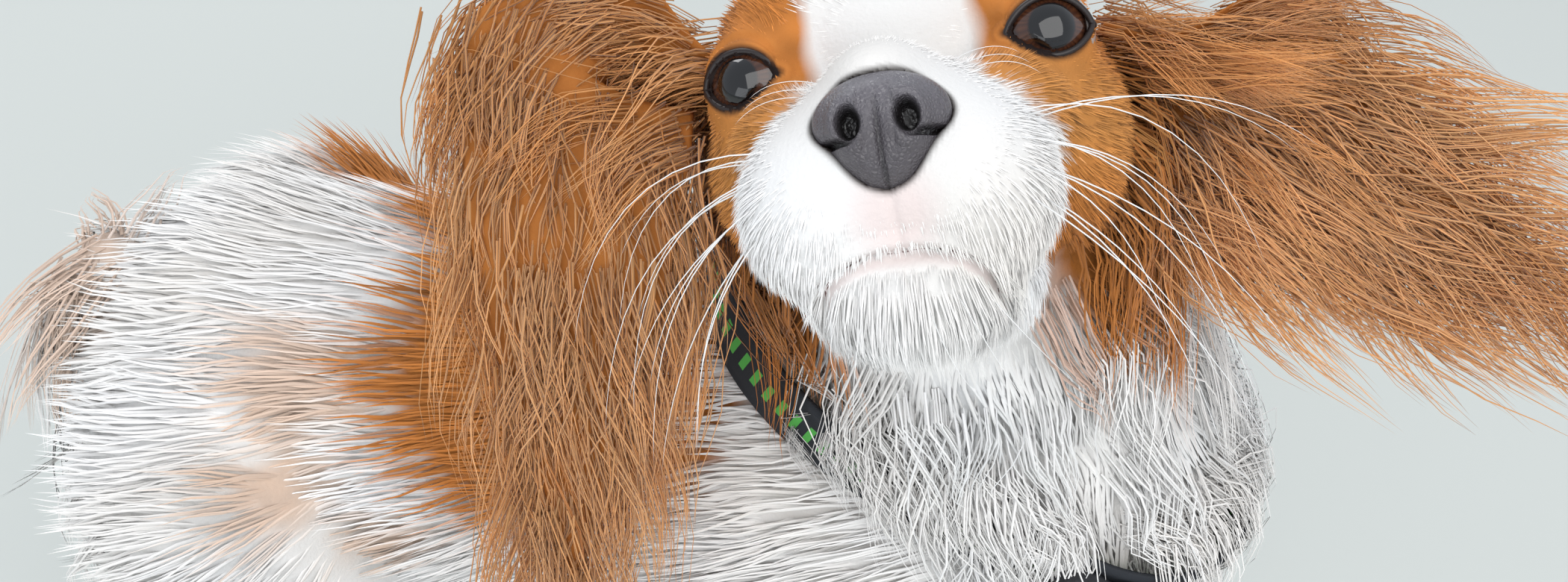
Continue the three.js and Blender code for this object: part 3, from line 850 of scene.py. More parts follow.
def tuft_mesh(name, line, out, width, colours, uv, flat=0.45, taper=1.5, soft_light=0.0):
    """Joins closed three-sided spikes along the given lines into one object.

    With soft_light, part of each normal is the coat's own, so a thick coat shades as one form.
    """
    line = keep_near(line)
    count, points = line.shape[:2]
    rings = points - 1
    per = rings * 3 + 1
    along = unit(np.gradient(line, axis=1))
    side = unit(np.cross(along, out[:, None]) + 1e-9)
    up = np.cross(side, along)
    t = np.linspace(0, 1, points)[:rings]
    shape = (1 - 0.85 * t**taper)[None, :, None] * np.reshape(width, (-1, 1, 1)) / 2
    verts = np.empty((count, per, 3))
    lit = np.empty_like(verts)
    for k, angle in enumerate((pi / 2, pi / 2 + tau / 3, pi / 2 - tau / 3)):
        offset = cos(angle) * side[:, :rings] + flat * sin(angle) * up[:, :rings]
        verts[:, k:rings * 3:3] = line[:, :rings] + offset * shape
        round_out = unit(offset) * (1 - soft_light)
        lit[:, k:rings * 3:3] = round_out + up[:, :rings] * soft_light
    verts[:, -1] = line[:, -1]
    lit[:, -1] = up[:, -1]
    base = [(0, 2, 1)]
    for i in range(rings - 1):
        for k in range(3):
            a, b = i * 3 + k, i * 3 + (k + 1) % 3
            base += [(a, b, b + 3), (a, b + 3, a + 3)]
    last = (rings - 1) * 3
    base += [(last + k, last + (k + 1) % 3, rings * 3) for k in range(3)]
    base = np.array(base)
    if volume_sign(verts[0], base) < 0:
        base = base[:, ::-1]
    tris = (base[None] + (np.arange(count) * per)[:, None, None]).reshape(-1, 3)
    mesh = bpy.data.meshes.new(name)
    mesh.vertices.add(count * per)
    mesh.loops.add(tris.size)
    mesh.polygons.add(len(tris))
    mesh.loops.foreach_set("vertex_index", tris.astype(np.int32).ravel())
    mesh.polygons.foreach_set("loop_start", np.arange(0, tris.size, 3, dtype=np.int32))
    mesh.polygons.foreach_set("use_smooth", np.ones(len(tris), bool))
    put_points(mesh, verts.reshape(-1, 3))
    mesh.update(calc_edges=True)
    height = np.append(np.repeat(t, 3), 1.0)
    # Painted shade: each tuft is darker at its root, deep in the coat, and lighter at its tip, less
    # so where the coat is white.
    pale = np.clip(colours.min(1) / 0.6, 0, 1)[:, None]
    shade = (0.6 + 0.3 * pale) + (0.55 - 0.4 * pale) * height[None]
    paint(mesh, np.clip(colours[:, None] * shade[:, :, None], 0, 1).reshape(-1, 3))
    patch = np.zeros((per, 2))
    patch[:-1, 0] = np.tile((-0.0012, 0.0012, 0.0), rings)
    patch[:, 1] = (height - 0.5) * 0.0026
    spots = np.clip(uv[:, None] + patch[None], 0, 1).reshape(-1, 2)
    layer = mesh.uv_layers.new(name="OFBake")
    layer.data.foreach_set("uv", spots[tris.ravel()].astype(np.float32).ravel())
    if soft_light > 0:
        mesh.normals_split_custom_set_from_vertices(unit(lit).reshape(-1, 3).tolist())
    print(name, len(tris), "triangles")
    return add_object(name, mesh, hair)


def varied(colours, spread):
    """A little chance from tuft to tuft, less of it where the coat is white."""
    pale = np.clip(colours.min(1, keepdims=True) / 0.6, 0, 1)
    return np.clip(colours * (1 + rng.normal(0, 1, pale.shape) * spread * (1 - 0.7 * pale)), 0, 1)


# %% [markdown]
# The lie of the coat runs away from the nose over the face, down the neck and chest, back along
# the ribs and down the legs. The face has the shortest and finest tufts. Combing by hand could
# give the same, but a rule for each region is quicker and can be read.

# %% Short coat of the head
NOSE_TIP = head_point(0, -58, -14)


def eye_gap(p):
    gap = np.full(len(p), 99.0)
    for s in (-1, 1):
        middle, axes = eye_axes(s)
        q = (p - middle) @ axes.T
        near = (q[:, 2] > -1) & (np.linalg.norm(q, axis=1) < 24)
        gap = np.where(near, np.minimum(gap, opening(q[:, 0], q[:, 1])), gap)
    return gap


def on_face(p):
    bare = (NOSE(p) < 1.2) | (eye_gap(p) < 1.0)
    return (HEAD(p) < 1.5) & ~bare & (NECK(p) > -6)


def face_weight(p):
    return on_face(p) * (in_head(p)[:, 1] < 18)


def skull_weight(p):
    return on_face(p) * (in_head(p)[:, 1] >= 14)


def head_lie(p):
    away = unit(p - NOSE_TIP)
    h = in_head(p)
    below = np.clip((-30 - h[:, 2]) / 12, 0, 1)[:, None]
    return unit(away + 0.7 * below * -HEAD_UP)


def coat_piece(name, count, weight, lie, length, width, steps, spread=0.1, **more):
    roots = scatter(body_surface, count, weight)
    size = length(roots["root"]) if callable(length) else length
    size = size * rng.uniform(0.75, 1.2, count)
    line = spines(roots["root"], roots["out"], lie(roots["root"]), size, steps, **more)
    wide = width * rng.uniform(0.7, 1.3, count)
    tint = varied(markings(roots["root"]), spread)
    return tuft_mesh(name, line, roots["out"], wide, tint, roots["uv"], soft_light=0.55)


def face_length(p):
    h = in_head(p)
    near_nose = np.clip((NOSE(p) - 1) / 12, 0.25, 1)
    near_eye = np.clip((eye_gap(p) - 1) / 7, 0.3, 1)
    lip = np.clip(mouth_distance(p) / 6, 0.8, 1)
    chin = 1 + 0.9 * (h[:, 2] < -46)
    return 5.2 * near_nose * near_eye * lip * chin


for part, lift in (("a", 0.28), ("b", 0.42)):
    coat_piece("coat_face_" + part, 11500, face_weight, head_lie, face_length, 0.42, 2, 0.17,
               lift=lift)
coat_piece("coat_skull", 4000, skull_weight, head_lie, 12.0, 0.9, 3, lift=0.18)

# %% Coat of the body, neck and legs
def body_lie(p):
    back = np.array([0.0, 1.0, 0.0])
    front = np.clip((-20 - p[:, 1]) / 40, 0, 1)[:, None]
    flank = np.clip((250 - p[:, 2]) / 60, 0, 1)[:, None]
    return unit(back * (1 - front) + DOWN * (0.25 + 0.5 * flank + front))


def neck_lie(p):
    return np.broadcast_to(unit([0.05, -0.25, -1.0]), p.shape)


def leg_lie(p):
    return np.broadcast_to(unit([0.0, 0.22, -1.0]), p.shape)


def nearest(form, others):
    def weight(p):
        mine = form(p)
        rest = np.min([o(p) for o in others], axis=0)
        return ((mine < 12) & (mine < rest + 1)).astype(float)
    return weight


is_neck = nearest(NECK, [HEAD, TORSO, *LEGS])
is_torso = nearest(TORSO, [NECK, *LEGS, TAIL])
is_tail = nearest(TAIL, [TORSO, LEGS[2], LEGS[3]])


def is_leg(p):
    legs = np.min([leg(p) for leg in LEGS], axis=0)
    rest = np.min([TORSO(p), NECK(p), TAIL(p)], axis=0)
    return ((legs < 12) & (legs <= rest)).astype(float)


def is_thigh(p):
    return is_leg(p) * (p[:, 2] > 150)


def chest_weight(p):
    return is_torso(p) * (p[:, 1] < -18)


def trunk_weight(p):
    return np.maximum(is_torso(p), is_thigh(p)) * (p[:, 1] >= -22)


def shank_weight(p):
    return is_leg(p) * (p[:, 2] < 165)


def leg_length(p):
    return np.interp(p[:, 2], (0, 25, 60, 150, 240), (4.5, 6, 9, 13, 17))


coat_piece("coat_trunk_a", 7200, trunk_weight, body_lie, 18.0, 1.5, 3, lift=0.2, curl=0.12,
           droop=0.0, press=0.02)
coat_piece("coat_trunk_b", 7000, trunk_weight, body_lie, 26.0, 1.1, 3, lift=0.34, curl=0.2,
           droop=0.0, press=0.05)
coat_piece("coat_legs", 8000, shank_weight, leg_lie, leg_length, 1.3, 2, lift=0.24, droop=0.02,
           press=0.02)
coat_piece("coat_neck", 3500, is_neck, neck_lie, 32.0, 1.2, 4, lift=0.24, curl=0.2, droop=0.06)
coat_piece("coat_chest", 3500, chest_weight, neck_lie, 44.0, 1.2, 5, lift=0.28, curl=0.22,
           droop=0.08)

# %% [markdown]
# ## Long locks
#
# On the ears, chest, elbows, belly, breeches and tail the hair gathers in locks. Each lock has a
# guide line, and its strands start round the guide's root and draw together towards its tip.
# Single strands spread evenly would look like fur on a toy, and one wide blade for a lock would
# look like felt, so guides with thin strands are the middle way.

# %% Locks of strands round guide lines
COLLAR_MIDDLE = np.array([0.0, -40.0, 262.0])
COLLAR_UP = unit([0, -0.42, 0.9])
COLLAR_Y = unit(np.cross(COLLAR_UP, [1.0, 0, 0]))
COLLAR_WIDE = 17.0
COLLAR_THICK = 2.4
CLASP_TURN = pi + 0.35


def reach_from(start, direction, form):
    """How far it is from each start to the form's surface."""
    low = np.zeros(len(start))
    high = np.full(len(start), 120.0)
    for _ in range(26):
        mid = (low + high) / 2
        inside = form(start + mid[:, None] * direction) < 0
        low = np.where(inside, mid, low)
        high = np.where(inside, high, mid)
    return low


def throat_form(p):
    return np.minimum(NECK(p), TORSO(p))


def round_collar(turn):
    return np.cos(turn)[:, None] * [1.0, 0, 0] + np.sin(turn)[:, None] * COLLAR_Y


def collar_reach(turn):
    """How far the band lies from the collar's middle, for each angle round the neck."""
    out = round_collar(turn)
    starts = [COLLAR_MIDDLE + k * COLLAR_WIDE / 2 * COLLAR_UP + 0 * out for k in (-1, 0, 1)]
    return np.max([reach_from(start, out, throat_form) for start in starts], axis=0)


band_turns = np.linspace(-pi, pi, 120, endpoint=False)
band_reach = collar_reach(band_turns)
print("neck's reach at the collar, mm:", band_reach.min().round(1), band_reach.max().round(1))


def strands(name, guides, outs, uv, per_lock, spread, width, colours, clear, soft_light=0.4):
    """Strands that draw together along each guide."""
    points = guides.shape[1]
    line = np.repeat(guides, per_lock, 0)
    out = np.repeat(outs, per_lock, 0)
    total = len(line)
    along = unit(np.gradient(line, axis=1))
    side = unit(np.cross(along, out[:, None]) + 1e-9)
    up = np.cross(side, along)
    t = np.linspace(0, 1, points)[None, :, None]
    gather = (1 - 0.8 * t**1.3) * spread
    across = rng.normal(0, 0.5, (total, 1, 1))
    above = rng.normal(0, 0.3, (total, 1, 1))
    phase = rng.random((total, 1, 1)) * tau
    sway = np.sin(phase + t * rng.uniform(3, 7, (total, 1, 1))) * spread * 0.09 * t
    line = line + side * (across * gather + sway) + up * (above * gather + 0.5 * sway)
    short = rng.uniform(0.72, 1.08, (total, 1, 1))
    line = line[:, :1] + (line - line[:, :1]) * short
    free = push_out(line[:, 1:].reshape(-1, 3), clear, 0.8)
    line = np.concatenate([line[:, :1], free.reshape(total, points - 1, 3)], 1)
    line[:, :, 2] = np.maximum(line[:, :, 2], 0.6)
    tint = varied(np.repeat(colours, per_lock, 0), 0.15)
    wide = width * rng.uniform(0.6, 1.3, total)
    return tuft_mesh(name, line, out, wide, tint, np.repeat(uv, per_lock, 0), 0.5,
                     soft_light=soft_light)


def over_collar(p):
    """The body's form with the collar's band laid on it."""
    d = p - COLLAR_MIDDLE
    across = d @ COLLAR_Y
    far = np.interp(np.arctan2(across, d[:, 0]), band_turns, band_reach, period=tau)
    band = np.maximum(np.abs(d @ COLLAR_UP) - 12, np.hypot(d[:, 0], across) - far - 3.6)
    return np.minimum(BODY(p), band)


def lock_piece(name, count, weight, lie, length, per_lock, spread, width, steps=6, **more):
    roots = scatter(body_surface, count, weight)
    size = length * rng.uniform(0.75, 1.15, count)
    guides = spines(roots["root"], roots["out"], lie(roots["root"]), size, steps,
                    clear=over_collar, margin=1.5, **more)
    return strands(name, guides, roots["out"], roots["uv"], per_lock, spread, width,
                   markings(roots["root"]), over_collar)


def bib_weight(p):
    facing = np.clip((-30 - p[:, 1]) / 30, 0, 1)
    return is_torso(p) * facing * (p[:, 2] > 172)


def throat_weight(p):
    return is_neck(p) * (p[:, 1] < 6)


lock_piece("locks_bib", 170, bib_weight, neck_lie, 56.0, 18, 10.0, 0.75, 6, lift=0.36,
           droop=0.1, curl=0.26)
lock_piece("locks_throat", 110, throat_weight, neck_lie, 50.0, 16, 9.0, 0.65, 6, lift=0.3,
           droop=0.06, curl=0.26)


def above_collar(p):
    d = p - COLLAR_MIDDLE
    rise = d @ COLLAR_UP
    turn = np.arctan2(d @ COLLAR_Y, d[:, 0])
    from_clasp = np.abs((turn - CLASP_TURN + pi) % tau - pi)
    over_clasp = np.clip((from_clasp - 0.45) / 0.3, 0.12, 1)
    band = (rise > 7) & (rise < 26) & (throat_form(p) < 12)
    return band * over_clasp


lock_piece("locks_collar", 140, above_collar, neck_lie, 48.0, 14, 9.0, 0.7, 6, lift=0.3,
           droop=0.06, curl=0.26)


def belly_weight(p):
    return is_torso(p) * (p[:, 2] < 182) * (p[:, 1] > -10)


def belly_lie(p):
    return np.broadcast_to(unit([0.0, 0.55, -0.75]), p.shape)


def feather_weight(p):
    fore = (p[:, 1] < 60) & (p[:, 2] > 45) & (p[:, 2] < 165)
    fore &= p[:, 1] > np.interp(p[:, 2], (45, 150), (-27, 8))
    hind = (p[:, 1] > 100) & (p[:, 2] > 85) & (p[:, 2] < 235)
    hind &= p[:, 1] > np.interp(p[:, 2], (85, 150, 230), (228, 188, 205))
    return is_leg(p) * (fore | hind)


def feather_lie(p):
    return np.broadcast_to(unit([0.0, 0.5, -0.85]), p.shape)


def tail_lie(p):
    side = np.sign(p[:, :1]) * np.array([0.35, 0, 0])
    return unit(side + np.array([0, 0.22, -0.9]))


lock_piece("locks_belly", 80, belly_weight, belly_lie, 40.0, 12, 8.0, 1.0, 5, lift=0.45,
           droop=0.06, curl=0.2)
lock_piece("locks_legs", 190, feather_weight, feather_lie, 42.0, 12, 7.0, 0.9, 5, lift=0.4,
           droop=0.08, curl=0.2)
lock_piece("locks_tail", 120, is_tail, tail_lie, 58.0, 13, 8.0, 0.9, 5, lift=0.22, droop=0.05,
           curl=0.2)

# %% Hair of the ears
# Golden brown ear hair. The gold is partly a painted highlight on the waves, and the deep brown is
# partly painted shade between them.
EAR_GOLD_HIGHLIGHT = linear("#F7C592")
EAR_BROWN = linear("#E09A58")
EAR_DEEP_SHADE = linear("#B06A33")


def ear_colour(p, t):
    # Painted highlight and shade over the real colour: patches swing from deep brown to gold, and the
    # gold grows towards the ear's end.
    light = 0.5 + 0.5 * ripple(p, 22, 7)
    colour = EAR_BROWN + (EAR_DEEP_SHADE - EAR_BROWN) * (0.7 * (1 - light) ** 2)[:, None]
    return colour + (EAR_GOLD_HIGHLIGHT - colour) * (light * (0.35 + 0.4 * np.clip(t, 0, 1)))[:, None]


def below_ear(p):
    h = in_head(p)
    side = np.abs(h[:, 0])
    return (HEAD(p) < 3) * (side > 26) * (h[:, 1] > 16) * (h[:, 1] < 56) * (np.abs(h[:, 2] + 14) < 20)


def below_ear_lie(p):
    return unit(DOWN + 0.5 * HEAD_BACK - 0.25 * HEAD_UP) + np.zeros((len(p), 1))


lock_piece("locks_below_ears", 100, below_ear, below_ear_lie, 52.0, 12, 9.0, 0.7, 6, lift=0.3,
           droop=0.08, curl=0.2)


def ear_hair(which, piece, locks, per_lock, reach_mm, lift, spread, curl=0.24):
    leaf = surface_of(leaves[which])
    path, along, side = ear_frames(which, 60)[:3]

    def more_at_root(p):
        return 1 + 2.5 * np.exp(-np.linalg.norm(p - path[0], axis=1) / 26)

    roots = scatter(leaf, locks, more_at_root)
    near = np.linalg.norm(roots["root"][:, None] - path[None], axis=2).argmin(1)
    t = near / (len(path) - 1)
    across = ((roots["root"] - path[near]) * side[near]).sum(1)
    lie = along[near] + side[near] * (across / 110)[:, None]
    if which == "right":
        lie = lie + np.exp(-t / 0.3)[:, None] * DOWN
    size = (32 + reach_mm * t) * rng.uniform(0.8, 1.15, locks)
    droop = 0.01 if which == "left" else (0.08 + 0.16 * np.exp(-t / 0.3))[:, None]
    guides = spines(
        roots["root"], roots["out"], lie, size, 6,
        lift=lift, droop=droop, curl=curl, clear=BODY, margin=3.0,
    )
    colours = ear_colour(roots["root"], t)
    return strands("locks_ear_" + which + piece, guides, roots["out"], roots["uv"], per_lock,
                   spread, 0.55, colours, BODY, soft_light=0.0)


for which, reach_mm in (("right", 48), ("left", 42)):
    ear_hair(which, "_under", 250, 17, reach_mm, 0.12, 9.5)
    ear_hair(which, "_over", 50, 8, reach_mm, 0.28, 5.5, 0.3)


# %% [markdown]
# ## Eyes
#
# The eye is a wet dark ball with a brown iris and a wide pupil. A dark rim of bare skin runs
# round the opening between the lids. The ball takes its colours from the distance to the middle
# of its own gaze, so the iris has rays and a dark outer ring. A clear shell over a flat iris is
# closer to a real eye, but in a dark eye only the shine is seen, so one coated ball is enough.

# %% Eyeballs and lid rims
IRIS = linear("#3A2016")
IRIS_LIGHT = linear("#6B4128")
PUPIL = linear("#050406")
SCLERA = linear("#D8CFCB")

# Tears over the cornea give a sharp bright window on a dark ball.
eye_finish, eye_shader = attribute_material(
    "wet_eye", 0.08, Specular_IOR_Level=0.3, Coat_Weight=0.8, Coat_Roughness=0.02
)
# The lids' bare edge is moist black skin with a narrow soft shine.
rim_finish, rim_shader = new_material("wet_lid_rim", 0.4, Specular_IOR_Level=0.5)
rim_shader.inputs["Base Color"].default_value = (*RIM, 1)


def add_eye(s, name):
    middle, axes = eye_axes(s)
    ball = add_ball(middle, np.full(3, 1.0), WORLD_AXES, 96, 64)
    ball.name = "ball_" + name
    local = points_of(ball.data) - middle
    r = np.arccos(np.clip(local[:, 2], -1, 1))
    bulge = 0.9 * np.exp(-((r / 0.42) ** 4))
    radius = EYE_R - 0.35 + bulge
    put_points(ball.data, middle + (local * radius[:, None]) @ axes)
    turn = np.arctan2(local[:, 1], local[:, 0])
    rays = 0.5 + 0.5 * np.sin(turn * 41 + 3 * np.sin(turn * 7))
    colour = IRIS + (IRIS_LIGHT - IRIS) * (0.45 * rays * np.clip((r - 0.3) / 0.25, 0, 1))[:, None]
    colour = colour + (PUPIL - colour) * soft(r - 0.42, 0.05)[:, None]
    colour = colour + (PUPIL - colour) * (0.85 * soft(np.abs(r - 0.70) - 0.06, 0.06))[:, None]
    colour = np.where((r > 0.76)[:, None], SCLERA * 0.6, colour)
    paint(ball.data, colour)
    ball.data.materials.append(eye_finish)
    choose(ball)
    bpy.ops.object.shade_smooth()
    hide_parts("eye_" + name)
    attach(ball, "root")
    return ball


def tube(name, path, radius, material, closed=False, sides=8):
    """A round tube along a path, joined end to end or capped."""
    count = len(path)
    if closed:
        along = unit(np.roll(path, -1, 0) - np.roll(path, 1, 0))
    else:
        along = unit(np.gradient(path, axis=0))
    radius = np.broadcast_to(radius, (count,))
    side = unit(np.cross(along, HEAD_BACK + 0.01))
    up = np.cross(side, along)
    turn = np.arange(sides) * tau / sides
    ring = side[:, None] * np.cos(turn)[None, :, None] + up[:, None] * np.sin(turn)[None, :, None]
    verts = (path[:, None] + ring * radius[:, None, None]).reshape(-1, 3)
    faces = []
    for i in range(count if closed else count - 1):
        n = (i + 1) % count
        for j in range(sides):
            k = (j + 1) % sides
            faces.append((i * sides + j, i * sides + k, n * sides + k, n * sides + j))
    if not closed:
        faces.append(tuple(range(sides))[::-1])
        faces.append(tuple((count - 1) * sides + j for j in range(sides)))
    mesh = bpy.data.meshes.new(name)
    mesh.from_pydata(((verts + SHIFT) * MM).tolist(), [], faces)
    obj = add_object(name, mesh, material)
    turn_outwards(obj)
    bpy.ops.object.shade_smooth()
    return obj


def add_rim(s, name):
    middle, axes = eye_axes(s)
    turn = np.linspace(0, tau, 72, endpoint=False)
    u = np.cos(turn)
    height = np.where(np.sin(turn) >= 0, lid_height(u, True), lid_height(u, False))
    flat = np.stack([u * EYE_OPEN_X, height], 1) * 1.02
    lift = EYE_R + 0.45
    depth = np.sqrt(np.maximum(lift**2 - (flat**2).sum(1), 1))
    path = middle + np.column_stack([flat, depth]) @ axes
    return tube("lid_rim_" + name, path, 0.6, rim_finish, closed=True, sides=10)


for s, name in ((-1, "right"), (1, "left")):
    add_eye(s, name)
    add_rim(s, name)
print("opening between the lids, mm:", 2 * EYE_OPEN_X, "by", 2 * EYE_OPEN_Z)

# %% [markdown]
# ## Nose
#
# The nose is bare leather, split by a groove, with a comma-shaped nostril on each side whose
# tail runs out and back. A ball settles on the nose's form and the nostrils are pressed into it.
# The pebbles of the leather are bump, because they are finer than the mesh. Cutting the holes
# with another mesh would leave hard edges, and pressed ones stay round.

# %% Nose leather
# Moist leather glints a little on each pebble and is dull between them.
leather, leather_shader = attribute_material(
    "moist_nose", 0.38, Specular_IOR_Level=0.55, Coat_Weight=0.25, Coat_Roughness=0.3
)
pebbles = add_node(
    leather, "ShaderNodeTexVoronoi", {"Vector": object_place(leather), "Scale": 1300.0},
    feature="DISTANCE_TO_EDGE",
)
pebble_bump = add_node(
    leather, "ShaderNodeBump",
    {"Height": pebbles.outputs["Distance"], "Strength": 0.8, "Distance": 0.0006},
)
link(leather, pebble_bump.outputs["Normal"], leather_shader.inputs["Normal"])
# Painted shade: near black for the nostrils and the groove.
NOSE_HOLLOW_SHADE = linear("#0E0A0B")
NOSE_GREY = linear("#4A4549")
# Painted highlight: a lighter grey for the top of the leather.
NOSE_TOP_HIGHLIGHT = linear("#6E6A70")

nose = add_ball(head_point(0.8, -42, -23), np.array([11.0, 6.0, 10.0]), HEAD_AXES, 180, 120)
nose.name = "nose_leather"
p = settle(points_of(nose.data), NOSE, lambda q: np.full(len(q), -0.25), 8)
h = in_head(p)
x = h[:, 0] - 0.8
side = np.abs(x)
z = h[:, 2]
front = np.clip((-40 - h[:, 1]) / 2, 0, 1)
hole = np.hypot((side - 4.9) / 2.1, (z + 22.4) / 2.9)
slit = np.hypot((side - 8.2) / 3.6, (z + 25.2 - 0.18 * (side - 8)) / 0.85)
sink = np.maximum(4.0 * soft(hole - 0.85, 0.5) * front, 2.2 * soft(slit - 0.8, 0.6))
wing = 0.9 * np.exp(-(((hole - 1.5) / 0.45) ** 2)) * (side > 3)
fold = 0.9 * np.exp(-(((side - 7.5) / 3.2) ** 2 + ((z + 28.2) / 1.9) ** 2))
groove = 0.8 * np.exp(-((x / 0.45) ** 2)) * np.clip((-17 - z) / 6, 0, 1)
dent = 0.7 * np.exp(-((x / 2.2) ** 2)) * np.clip((-17 - z) / 6, 0, 1)
p = p + (sink + groove + dent - (wing + fold) * front)[:, None] * HEAD_BACK
put_points(nose.data, p)
# Painted highlight: the top of the leather is lighter.
painted_top_light = np.clip((z + 25) / 10, 0, 1)
colour = NOSE_GREY + (NOSE_TOP_HIGHLIGHT - NOSE_GREY) * (0.8 * painted_top_light)[:, None]
# Painted shade: the nostrils and the groove are darker.
colour = colour + (NOSE_HOLLOW_SHADE - colour) * np.clip(sink / 2.2 + 0.7 * groove, 0, 1)[:, None]
paint(nose.data, colour)
nose.data.materials.append(leather)
choose(nose)
bpy.ops.object.shade_smooth()
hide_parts("nose")
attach(nose, "root")
print("nose leather, mm across and high:", np.ptp(h[:, 0]).round(1), np.ptp(z).round(1))

# %% Line of the lips
# The lips' edge is dusky skin, a little moist, and shows as a thin dark line.
lip, lip_shader = new_material("lip_skin", 0.45)
lip_shader.inputs["Base Color"].default_value = (*linear("#6E4A46"), 1)
for s, name in ((-1, "right"), (1, "left")):
    taper = 0.6 * (1 - 0.6 * np.linspace(0, 1, 60))
    line = settle(mouth_lines[s], HEAD, lambda q: np.full(len(q), 2.5), 2)
    tube("lip_line_" + name, line, taper, lip, sides=6)
    length = np.linalg.norm(np.diff(line, axis=0), axis=1).sum()
    print("line of the lips,", name, "mm:", length.round(1))

# %% [markdown]
# ## Claws
#
# Each toe ends in a short claw of horn that shows between the hairs of the paw. Horn is smooth,
# and its thin layers run from pale to brown. A blunt cone is close to it, and sixteen are set
# out by the toes' own places, then joined.

# %% Claws of the four paws
CLAW_LENGTH = 11.0
CLAW_TILT = radians(117)
horn, horn_shader = new_material("claw_horn", 0.36)
layers = add_node(
    horn, "ShaderNodeTexNoise", {"Vector": object_place(horn), "Scale": 320.0, "Detail": 3.0}
)
horn_tint = add_node(horn, "ShaderNodeValToRGB", {"Fac": layers.outputs["Fac"]})
horn_tint.color_ramp.elements[0].color = (*linear("#4B3A31"), 1)
horn_tint.color_ramp.elements[1].color = (*linear("#A8958A"), 1)
link(horn, horn_tint.outputs["Color"], horn_shader.inputs["Base Color"])

claw_list = []
for s in (-1, 1):
    for paw_x, paw_y in ((42, -77), (48, 186)):
        for x in TOES:
            place = (s * (paw_x + x), paw_y + 4 * (abs(x) > 5) - 10.5, 6.2)
            clear_choice()
            bpy.ops.mesh.primitive_cone_add(
                vertices=12,
                radius1=2.1 * MM,
                radius2=0.5 * MM,
                depth=CLAW_LENGTH * MM,
                location=tuple((np.array(place) + SHIFT) * MM),
                rotation=(CLAW_TILT, 0, 0),
            )
            claw_list.append(bpy.context.object)
choose(*claw_list[::-1])
bpy.ops.object.join()
claws = bpy.context.object
claws.name = "claws"
bpy.ops.object.transform_apply(location=True, rotation=True, scale=True)
bpy.ops.object.shade_smooth_by_angle(angle=radians(40))
claws.data.materials.append(horn)
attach(claws, "root")
print(len(claw_list), "claws")

# %% [markdown]
# ## Whiskers
#
# Whiskers are thick single hairs, white here, that arch out of the lips, the cheeks and the
# brows. Each is a thin spike that bends under its own weight. A curve with a round bevel would do,
# but the builder of the tufts makes the same shape in one mesh.

# %% Whiskers
def skin_spots(points):
    """The place on the skin's unwrap that is nearest to each point."""
    middles = body_surface["points"].mean(1)
    spots = [np.linalg.norm(middles - q, axis=1).argmin() for q in points]
    return body_surface["uv"][spots].mean(1)


def whiskers(name, starts, directions, lengths, bend, width=0.34):
    count = len(starts)
    d = unit(directions)
    p = starts
    line = [p]
    for i in range(10):
        d = unit(d + bend * (0.4 + i / 10))
        p = p + d * (lengths / 10)[:, None]
        line.append(p)
    line = np.stack(line, 1)
    across = np.broadcast_to(HEAD_UP, (count, 3))
    colours = np.broadcast_to(linear("#FBFAF8"), (count, 3))
    return tuft_mesh(name, line, across, np.full(count, width), colours, skin_spots(starts),
                     1.0, taper=1.2)


for s, name in ((-1, "right"), (1, "left")):
    rows = [(x, z) for z in (-22, -27, -32, -37) for x in (20, 23.5, 26)]
    starts = np.array([on_head(s * x, z) for x, z in rows])
    fan = np.array([[s, 0.15 + 0.3 * rng.random(), 0.25 + (z + 22) / 14] for x, z in rows])
    lengths = rng.uniform(38, 66, len(rows))
    bend = (-0.2 * HEAD_UP + 0.04 * HEAD_BACK)[None] * rng.uniform(0.6, 1.5, (len(rows), 1))
    whiskers("whiskers_" + name, starts, fan @ HEAD_AXES, lengths, bend)
    brow = np.array([on_head(s * (14 + 2 * k), -8 - k) for k in range(3)])
    fan = np.array([[s * 0.9, -0.35, 0.3 - 0.1 * k] for k in range(3)])
    whiskers("brow_hairs_" + name, brow, fan @ HEAD_AXES, np.full(3, 14.0),
             (-0.12 * HEAD_UP)[None] * np.ones((3, 1)), 0.22)
chin = np.array([on_head(x, -50) for x in (-12, -7, -2, 3, 8, 13)])
fan = np.array([[x / 20, 0.1, -1.0] for x in (-12, -7, -2, 3, 8, 13)])
whiskers("whiskers_chin", chin, fan @ HEAD_AXES, rng.uniform(16, 26, 6),
         (0.16 * HEAD_BACK + 0.05 * HEAD_X)[None] * rng.uniform(0.2, 1.5, (6, 1)), 0.26)

# %% [markdown]
# ## Collar
#
# The collar is charcoal webbing with small green dashes along it and a moulded clasp. It goes
# round the foot of the neck, and the throat hair hangs over much of it. A strip bent along a
# curve could make it. Here its ring is worked out from how far the neck reaches at each angle,
# so it fits the neck, and the weave reads the strip's own unwrap.

# %% Webbing and clasp
CLASP_LONG = 30
CLASP_WIDE = 15
CLASP_DEEP = 5
NECK_RADIUS = 56

# Woven polyester tape is matt, with slanting ribs. They are drawn coarser than real threads.
webbing, webbing_shader = new_material("woven_webbing", 0.7, Specular_IOR_Level=0.3)
place = add_node(webbing, "ShaderNodeTexCoord")
weave = add_node(webbing, "ShaderNodeTexWave", {"Vector": place.outputs["UV"], "Scale": 90.0},
                 bands_direction="DIAGONAL")
dashes = add_node(webbing, "ShaderNodeTexWave", {"Vector": place.outputs["UV"], "Scale": 5.0},
                  bands_direction="X", wave_profile="SIN")
across_band = add_node(webbing, "ShaderNodeSeparateXYZ", {"Vector": place.outputs["UV"]})
middle_band = add_node(webbing, "ShaderNodeMath",
                       {0: across_band.outputs["Y"], 1: 0.5, 2: 0.16}, operation="COMPARE")
dash_on = add_node(webbing, "ShaderNodeMath", {0: dashes.outputs["Fac"], 1: 0.62},
                   operation="GREATER_THAN")
both = add_node(webbing, "ShaderNodeMath",
                {0: middle_band.outputs[0], 1: dash_on.outputs[0]}, operation="MULTIPLY")
